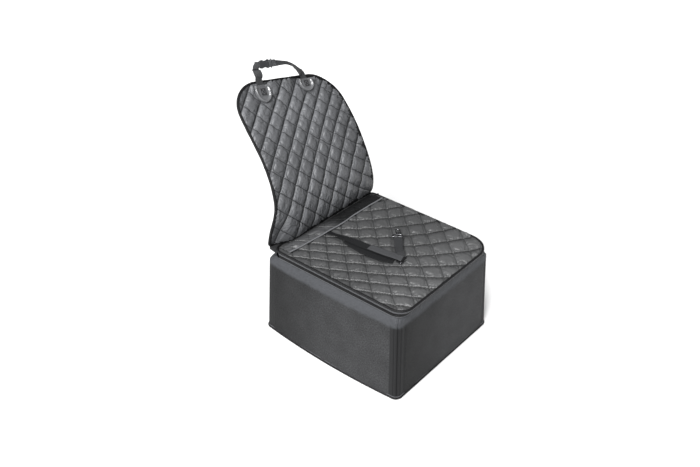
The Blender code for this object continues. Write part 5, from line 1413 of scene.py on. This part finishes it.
# ================================================================ moulded patches
def patch(side, px, tip):
    top = 0.4990
    drop = top - tip
    T = [(0.0, 0.0305), (0.18, 0.0322), (0.44, 0.0318), (0.70, 0.0270), (0.88, 0.0175), (0.97, 0.0070)]
    ctrl = [(top - drop * v, -w) for v, w in T] + [(tip, 0.0)] + [(top - drop * v, w) for v, w in reversed(T)]
    C = smooth_path([(s, x, 0.0) for s, x in ctrl], 5)[:, :2]
    T_edge = np.array([(top, x) for x in np.linspace(C[-1, 1], C[0, 1], 14)[1:-1]])
    ring = np.concatenate([C, T_edge])
    cs = lerp(tip, top, 0.56)
    prof = [(1.00, 0.0050), (1.00, 0.0080), (0.988, 0.0104), (0.965, 0.0124), (0.93, 0.0138), (0.885, 0.0143), (0.84, 0.0139), (0.795, 0.0124), (0.755, 0.0102),
            (0.72, 0.0088), (0.68, 0.0084), (0.60, 0.0084), (0.42, 0.0085), (0.22, 0.0086), (0.04, 0.0086)]
    # the raised rim is open at the top, where the web comes in
    open_top = np.array([1.0 if s < top - 0.001 else float(step01(abs(x), 0.0160, 0.0255)) for s, x in ring])
    rows = []
    for k, d in prof:
        dd = np.where(d > 0.0086, 0.0086 + (d - 0.0086) * open_top, d)
        rows.append(np.array([back_row(cs + (s - cs) * k, [px + x * k], dd[n_])[0] for n_, (s, x) in enumerate(ring)]))
    A = np.array(rows)
    n = A.shape[1]
    V = A.reshape(-1, 3)
    F = []
    for j in range(len(prof) - 1):
        for i in range(n):
            F.append((j * n + i, j * n + (i + 1) % n, (j + 1) * n + (i + 1) % n, (j + 1) * n + i))
    F += [tuple(range(n - 1, -1, -1)), tuple((len(prof) - 1) * n + i for i in range(n))]
    uv = np.stack([V[:, 0], V[:, 2]], 1)
    place("patch_" + side, V, outward(V, F), RUBBER, "backrest", {"m": uv}, "anchor_patch_" + side, True, 60)
    # web end sewn down with a crossed box
    s0, s1, hw = cs - 0.0090, top + 0.0010, 0.0125
    rowsA, rowsB = [], []
    for s in np.linspace(s0, s1, 10):
        rowsA.append(back_row(s, np.linspace(px - hw, px + hw, 8), 0.0100))
        rowsB.append(back_row(s, np.linspace(px - hw, px + hw, 8), 0.0086))
    V, F = shell(np.array(rowsA), np.array(rowsB))
    uv = np.stack(np.broadcast_arrays(np.linspace(s0, s1, 10)[:, None], np.linspace(-hw, hw, 8)[None, :]), -1).reshape(-1, 2)
    place("web_end_" + side, V, outward(V, F), WEB_END, "backrest", {"m": np.concatenate([uv, uv])}, smooth=True, sharp=50)
    b = 0.0092
    lines = [[(-b, -b), (b, -b), (b, b), (-b, b), (-b, -b)], [(-b, -b), (b, b)], [(-b, b), (b, -b)]]
    c0 = cs + 0.0030
    for k, ln in enumerate(lines):
        P = np.array([back_row(c0 + a, [px + q], 0.0103)[0] for a, q in ln])
        tube("box_stitch_%s_%d" % (side, k), resample(P, 0.0015), 0.0011, THREAD_DARK, "backrest", False, 6)


patch("left", -0.1095, 0.4435)
patch("right", 0.0955, 0.4510)

# ================================================================ headrest strap and buckle
STRAP_L, STRAP_R, STRAP_W = -0.1120, 0.0925, 0.0225
SH = np.array((XS, YS, 0.0))


def bp(s, x, d):
    return back_row(s, [x], d)[0] - SH


ROOT_L, ROOT_R = bp(0.5020, STRAP_L, 0.0088), bp(0.5020, STRAP_R, 0.0088)
ACROSS = (ROOT_R - ROOT_L) / np.linalg.norm(ROOT_R - ROOT_L)
BD = np.array((0.830, -0.558, 0.038))
BD /= np.linalg.norm(BD)
BW = np.array((0.180, 0.303, 0.935))
BW = BW - BD * BW.dot(BD)
BW /= np.linalg.norm(BW)
BN = np.cross(BD, BW)
B0 = np.array((-0.0640, 0.4835, 0.8345)) + BD * 0.0030


def bk(a, b, c=0.0):
    return B0 + BD * a + BW * b + BN * c


def strap_left():
    R_, FW = 0.0108, 0.0200
    top = B0 - BD * (0.0026 + R_) - BW * R_
    ctrl = [bp(0.5010, STRAP_L, 0.0088), bp(0.5060, STRAP_L, 0.0088), bp(0.5160, STRAP_L - 0.0010, 0.0082), (-0.0775, 0.4705, 0.8050), (-0.0762, 0.4800, 0.8170),
            top + (0.0, 0.0010, -0.0055), top]
    P = smooth_path(ctrl, 8)
    W, wd = [], []
    n = len(P)
    sd = np.array((0.800, -0.600, -0.020))
    for i in range(n):
        k_ = i / (n - 1)
        W.append(lerp(ACROSS, sd, min(1.0, max(0.0, (k_ - 0.40) / 0.24))) if k_ < 0.8 else lerp(sd, BD, (k_ - 0.8) / 0.2))
        wd.append(lerp(STRAP_W * 1.32, FW, min(1.0, max(0.0, (k_ - 0.45) / 0.5))))
    P = list(P)
    mid = top + BD * R_
    for a in range(10, 91, 10):
        q = math.radians(a)
        P.append(mid - BD * (R_ * math.cos(q)) + BW * (R_ * math.sin(q)))
        W.append(BD * math.cos(q) - BW * math.sin(q))
        wd.append(FW)
    for a in (0.0018, 0.0002, -0.0014):
        P.append(B0 - BD * a)
        W.append(-BW)
        wd.append(FW)
    web("strap_left_web", np.array(P) + SH, np.array(W), np.array(wd), 0.0018, WEB_STRAP, "strap_left", "strap_web_left", 8, 0.0)
    # the folded-over end of the web behind the bar
    P2 = [B0 + BD * 0.0020 - BN * 0.0022, B0 - BD * 0.0040 - BN * 0.0024, B0 - BD * 0.0110 - BN * 0.0024, B0 - BD * 0.0150 - BN * 0.0022]
    web("strap_left_fold", smooth_path(P2, 4) + SH, np.tile(BW, (13, 1)), 0.0195, 0.0016, WEB_STRAP, "strap_left", None, 6, 0.0)


def strap_right():
    P = [bk(0.0411, 0.0) - BD * 0.0030, bk(0.0425, 0.0)]
    ctrl = [bk(0.0450, 0.0), bk(0.0520, 0.0), (-0.0058, 0.4545, 0.8325), (0.0199, 0.4520, 0.8261), (0.0455, 0.4520, 0.8150), (0.0684, 0.4535, 0.7982),
            (0.0855, 0.4560, 0.7831), (0.1032, 0.4610, 0.7668), (0.1160, 0.4660, 0.7570), bp(0.5150, STRAP_R, 0.0088), bp(0.5060, STRAP_R, 0.0088),
            bp(0.5010, STRAP_R, 0.0088)]
    Q = smooth_path(ctrl, 8)
    P = np.concatenate([np.array(P), Q])
    E = np.array((0.110, 0.950, 0.290))
    # at each point of the path: how far it is turned towards edge-on, then towards the patch
    turn = ((0.0, 0.0), (0.35, 0.0), (0.75, 0.0), (1.0, 0.0), (0.84, 0.03), (0.80, 0.33), (0.80, 0.47), (0.80, 0.57), (0.80, 0.70), (0.80, 1.0), (0.80, 1.0), (0.80, 1.0))
    W, wide = [], []
    for i in range(len(P)):
        k_ = max(0.0, (i - 2) / 8)
        j_ = min(int(k_), 10)
        f_ = k_ - j_
        edge_on, home = (lerp(turn[j_][n], turn[j_ + 1][n], f_ * f_ * (3 - 2 * f_)) for n in (0, 1))
        W.append(lerp(lerp(BW, E, edge_on), ACROSS, home))
        wide.append(STRAP_W * (1 + 0.22 * home))
    # named with the strap, the plug and two points; the web is only fixed in place, attached to neither
    cross = ("strap_right", "buckle_plug", tuple(Q[8 * 5] + SH), tuple(bk(0.0425, 0.0) + SH))
    web("strap_right_web", P + SH, np.array(W), np.array(wide), 0.0018, WEB_STRAP, cross, "strap_web_right", 8, 0.0)


strap_left()
strap_right()


def prism_bk(name, outline_ab, c0, c1, mat, body, node=None, bevel=0.0006, seg=3, replaces=()):
    low = [bk(a, b, c0) + SH for a, b in outline_ab]
    high = [bk(a, b, c1) + SH for a, b in outline_ab]
    return plate(name, low, high, mat, body, node, bevel, seg)


def curve_ab(ctrl, n=4):
    return [(p[0], p[1]) for p in smooth_path([(a, b, 0.0) for a, b in ctrl], n)]


# socket half: two faces joined by side walls, waisted where the latches show
up_edge = curve_ab([(0.0, 0.0113), (0.0050, 0.0130), (0.0100, 0.0130), (0.0125, 0.0112), (0.0200, 0.0112), (0.0230, 0.0134), (0.0280, 0.0138), (0.0300, 0.0128)])
face_out = [(a, -b) for a, b in up_edge] + [(a, b) for a, b in reversed(up_edge)]
prism_bk("buckle_socket_front", face_out, 0.0024, 0.0047, PLASTIC, "strap_left", "buckle_female", 0.0009)
prism_bk("buckle_socket_back", face_out, -0.0047, -0.0028, PLASTIC, "strap_left", None, 0.0009)
for nm, a0, a1 in (("near", 0.0000, 0.0108), ("far", 0.0218, 0.0300)):
    for sg in (-1, 1):
        blk = [(a0, sg * 0.0108), (a1, sg * 0.0108), (a1, sg * 0.0134), (a0 + 0.0035, sg * 0.0132), (a0, sg * 0.0118)]
        prism_bk("buckle_socket_wall_%s_%s" % (nm, "low" if sg < 0 else "high"), blk, -0.0030, 0.0028, PLASTIC, "strap_left", None, 0.0002)
prism_bk("buckle_socket_bar", [(0.0046, -0.0110), (0.0074, -0.0110), (0.0074, 0.0110), (0.0046, 0.0110)], -0.0030, 0.0028, PLASTIC, "strap_left", None, 0.0006)
prism_bk("buckle_socket_rib", [(0.0240, -0.0080), (0.0256, -0.0080), (0.0256, 0.0080), (0.0240, 0.0080)], 0.0046, 0.0053, PLASTIC, "strap_left", None, 0.0003)
# plug half
prism_bk("buckle_plug_body", [(0.0306, -0.0118), (0.0362, -0.0122), (0.0362, 0.0122), (0.0306, 0.0118)], -0.0037, 0.0037, PLASTIC_PLUG, "buckle_plug", "buckle_male", 0.0009)
prism_bk("buckle_plug_frame", curve_ab([(0.0358, -0.0138), (0.0372, -0.0149), (0.0390, -0.0142)], 3) + curve_ab([(0.0390, 0.0142), (0.0372, 0.0149), (0.0358, 0.0138)], 3),
         -0.0032, 0.0032, PLASTIC_PLUG, "buckle_plug", None, 0.0008)
prism_bk("buckle_plug_prong", [(0.0122, -0.0022), (0.0310, -0.0025), (0.0310, 0.0025), (0.0122, 0.0022)], -0.0019, 0.0019, PLASTIC_PLUG, "buckle_plug", None, 0.0005)
for sg in (-1, 1):
    arm = [(0.0310, sg * 0.0062), (0.0310, sg * 0.0088), (0.0216, sg * 0.0090), (0.0212, sg * 0.0103), (0.0190, sg * 0.0104), (0.0140, sg * 0.0101),
           (0.0118, sg * 0.0092), (0.0106, sg * 0.0072), (0.0120, sg * 0.0062)]
    prism_bk("buckle_plug_latch_%s" % ("low" if sg < 0 else "high"), arm, -0.0019, 0.0019, PLASTIC_PLUG, "buckle_plug", None, 0.0004)


# ================================================================ cloth that crosses the two folds
def gusset():
    """Rear cloth between the back wall's rim and the lid."""
    xs = np.linspace(-0.2150, 0.2150, 60)
    prof = [(0.2688, 0.2950), (0.2690, 0.2985), (0.2684, 0.3020), (0.2668, 0.3055), (0.2655, 0.3090), (0.2645, 0.3130), (0.2630, 0.3168)]
    A, B = [], []
    for y, z in prof:
        P3 = np.stack([xs, np.full_like(xs, y), np.full_like(xs, z)], 1)
        w = 0.0006 * perlin(P3, 45.0, 2.0)
        A.append(np.stack([xs + XS, y + YS + w, np.full_like(xs, z)], 1))
        B.append(np.stack([xs + XS, y + YS + w - 0.0009, np.full_like(xs, z)], 1))
    V, F = shell(np.array(A), np.array(B))
    uv = np.stack(np.broadcast_arrays(xs[None, :], (np.arange(len(prof)) * 0.0035)[:, None]), -1).reshape(-1, 2)
    me = place("rear_gusset", V, outward(V, F), TAPE_FABRIC, ("box", "lid", (XS, 0.266 + YS, 0.2975), (XS, 0.264 + YS, 0.3150)),
               {"m": np.concatenate([uv, uv]), "e": np.concatenate([uv, uv]) * 0 + 1.0}, "hinge_tape", True, 60)
    return me


gusset()


def corner_fold(sign):
    """Loose cloth between the lid's rear corner and the back protector's lower corner."""
    low0, low1 = (np.array((-0.2462, 0.2500, 0.3110)), np.array((-0.1900, 0.2625, 0.3190))) if sign < 0 else (np.array((0.2440, 0.2480, 0.3130)), np.array((0.1900, 0.2625, 0.3190)))
    xa, xb = (-0.2570, -0.1900) if sign < 0 else (0.2290, 0.1850)
    A, B = [], []
    us, vs = np.linspace(0, 1, 26), np.linspace(0, 1, 22)
    for v in vs:
        row = []
        for u in us:
            bot = lerp(low0, low1, u)
            top = back_row(0.0080 * (1 - u) + 0.0010 * u, [lerp(xa, xb, u)], -0.0012)[0] - SH
            p = lerp(bot, top, v)
            belly = math.sin(math.pi * v)
            p = p + np.array((sign * 0.0040 * (1 - u), 0.0035, 0.0)) * belly
            w = noise.noise(Vector((u * 3.4 + v * 1.6, v * 2.4, 3.0 * sign))) + 0.5 * noise.noise(Vector((u * 8.0, v * 6.0, 7.0 * sign)))
            row.append(p + np.array((sign * 0.6, 0.8, 0.0)) * (0.0034 * w * belly) + SH)
        A.append(row)
    A = np.array(A)
    N = grid_normals(A)
    B = A - N * 0.0010
    V, F = shell(A, B)
    uv = np.stack(np.broadcast_arrays((us * 0.06)[None, :], (vs * 0.03)[:, None]), -1).reshape(-1, 2)
    place("corner_fold_" + ("left" if sign < 0 else "right"), V, outward(V, F), CORNER_FABRIC, ("lid", "backrest", (XS, 0.25 + YS, 0.3140), (XS, 0.25 + YS, 0.3320)),
          {"m": np.concatenate([uv, uv])}, smooth=True, sharp=60)


corner_fold(-1)
corner_fold(1)

# ================================================================ carried-over pieces
for name, mat in (("base_panel", BASE_FABRIC), ("floor_board", BOARD), ("lining_bag", LINING_FABRIC), ("lid_lining", LINING_FABRIC), ("lid_board", BOARD),
                  ("seat_foam", FOAM), ("back_padding", FOAM)):
    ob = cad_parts[name]
    ob.data.materials.clear()
    ob.data.materials.append(mat)
for side in MID:
    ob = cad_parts["stiffener_board_" + side]
    ob.data.materials.clear()
    ob.data.materials.append(BOARD)
for side in ("front_left", "front_right", "rear_right", "rear_left"):
    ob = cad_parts["corner_seam_tape_" + side]
    ob.data.materials.clear()
    ob.data.materials.append(TAPE_FABRIC)

# ================================================================ studio
me = bpy.data.meshes.new("floor")
me.from_pydata([(-9, -9, 0), (9, -9, 0), (9, 9, 0), (-9, 9, 0)], [], [(0, 1, 2, 3)])
fm = bpy.data.materials.new("pale_floor")
fm.use_nodes = True
fm.node_tree.nodes["Principled BSDF"].inputs["Base Color"].default_value = (0.76, 0.76, 0.76, 1.0)
fm.node_tree.nodes["Principled BSDF"].inputs["Roughness"].default_value = 0.9
me.materials.append(fm)
floor = bpy.data.objects.new("floor", me)
bpy.context.collection.objects.link(floor)

world = bpy.data.worlds.new("studio")
bpy.context.scene.world = world
world.use_nodes = True
world.node_tree.nodes["Background"].inputs["Color"].default_value = (1.0, 1.0, 1.0, 1.0)
world.node_tree.nodes["Background"].inputs["Strength"].default_value = 0.26


def soft_sun(name, towards, strength, angle):
    """A distant softbox: direction from the object to the light, its strength and its width in degrees."""
    li = bpy.data.lights.new(name, "SUN")
    li.energy = strength
    li.angle = math.radians(angle)
    ob = bpy.data.objects.new(name, li)
    bpy.context.collection.objects.link(ob)
    ob.location = Vector(towards) * 4.0
    ob.rotation_euler = Vector(towards).to_track_quat("Z", "Y").to_euler()
    return ob


soft_sun("overhead", (-0.42, -0.02, 0.91), 3.7, 34.0)
soft_sun("key_left", (-0.82, -0.32, 0.47), 3.9, 16.0)
soft_sun("fill_front", (0.45, -0.85, 0.28), 0.08, 60.0)

sc = bpy.context.scene
sc.view_settings.view_transform = "Standard"
sc.view_settings.look = "None"
sc.view_settings.exposure = 0.0

# ================================================================ camera
cam_at = Vector((-1.8678 + XS, -1.3451 + YS, 1.856))
target = Vector((0.1958 + XS, 0.3014 + YS, 0.15))
fwd = (target - cam_at).normalized()
right = fwd.cross(Vector((0, 0, 1))).normalized()
upv = right.cross(fwd)
roll = math.radians(1.575)
r2 = right * math.cos(roll) + upv * math.sin(roll)
u2 = -right * math.sin(roll) + upv * math.cos(roll)
cd = bpy.data.cameras.new("camera")
cd.sensor_width = 36.0
cd.sensor_fit = "HORIZONTAL"
cd.lens = 851.33 / 700 * 36.0
cd.clip_start, cd.clip_end = 0.05, 60.0
cam = bpy.data.objects.new("camera", cd)
bpy.context.collection.objects.link(cam)
from mathutils import Matrix

cam.matrix_world = Matrix(((r2.x, u2.x, -fwd.x, cam_at.x), (r2.y, u2.y, -fwd.y, cam_at.y), (r2.z, u2.z, -fwd.z, cam_at.z), (0, 0, 0, 1)))
sc.camera = cam
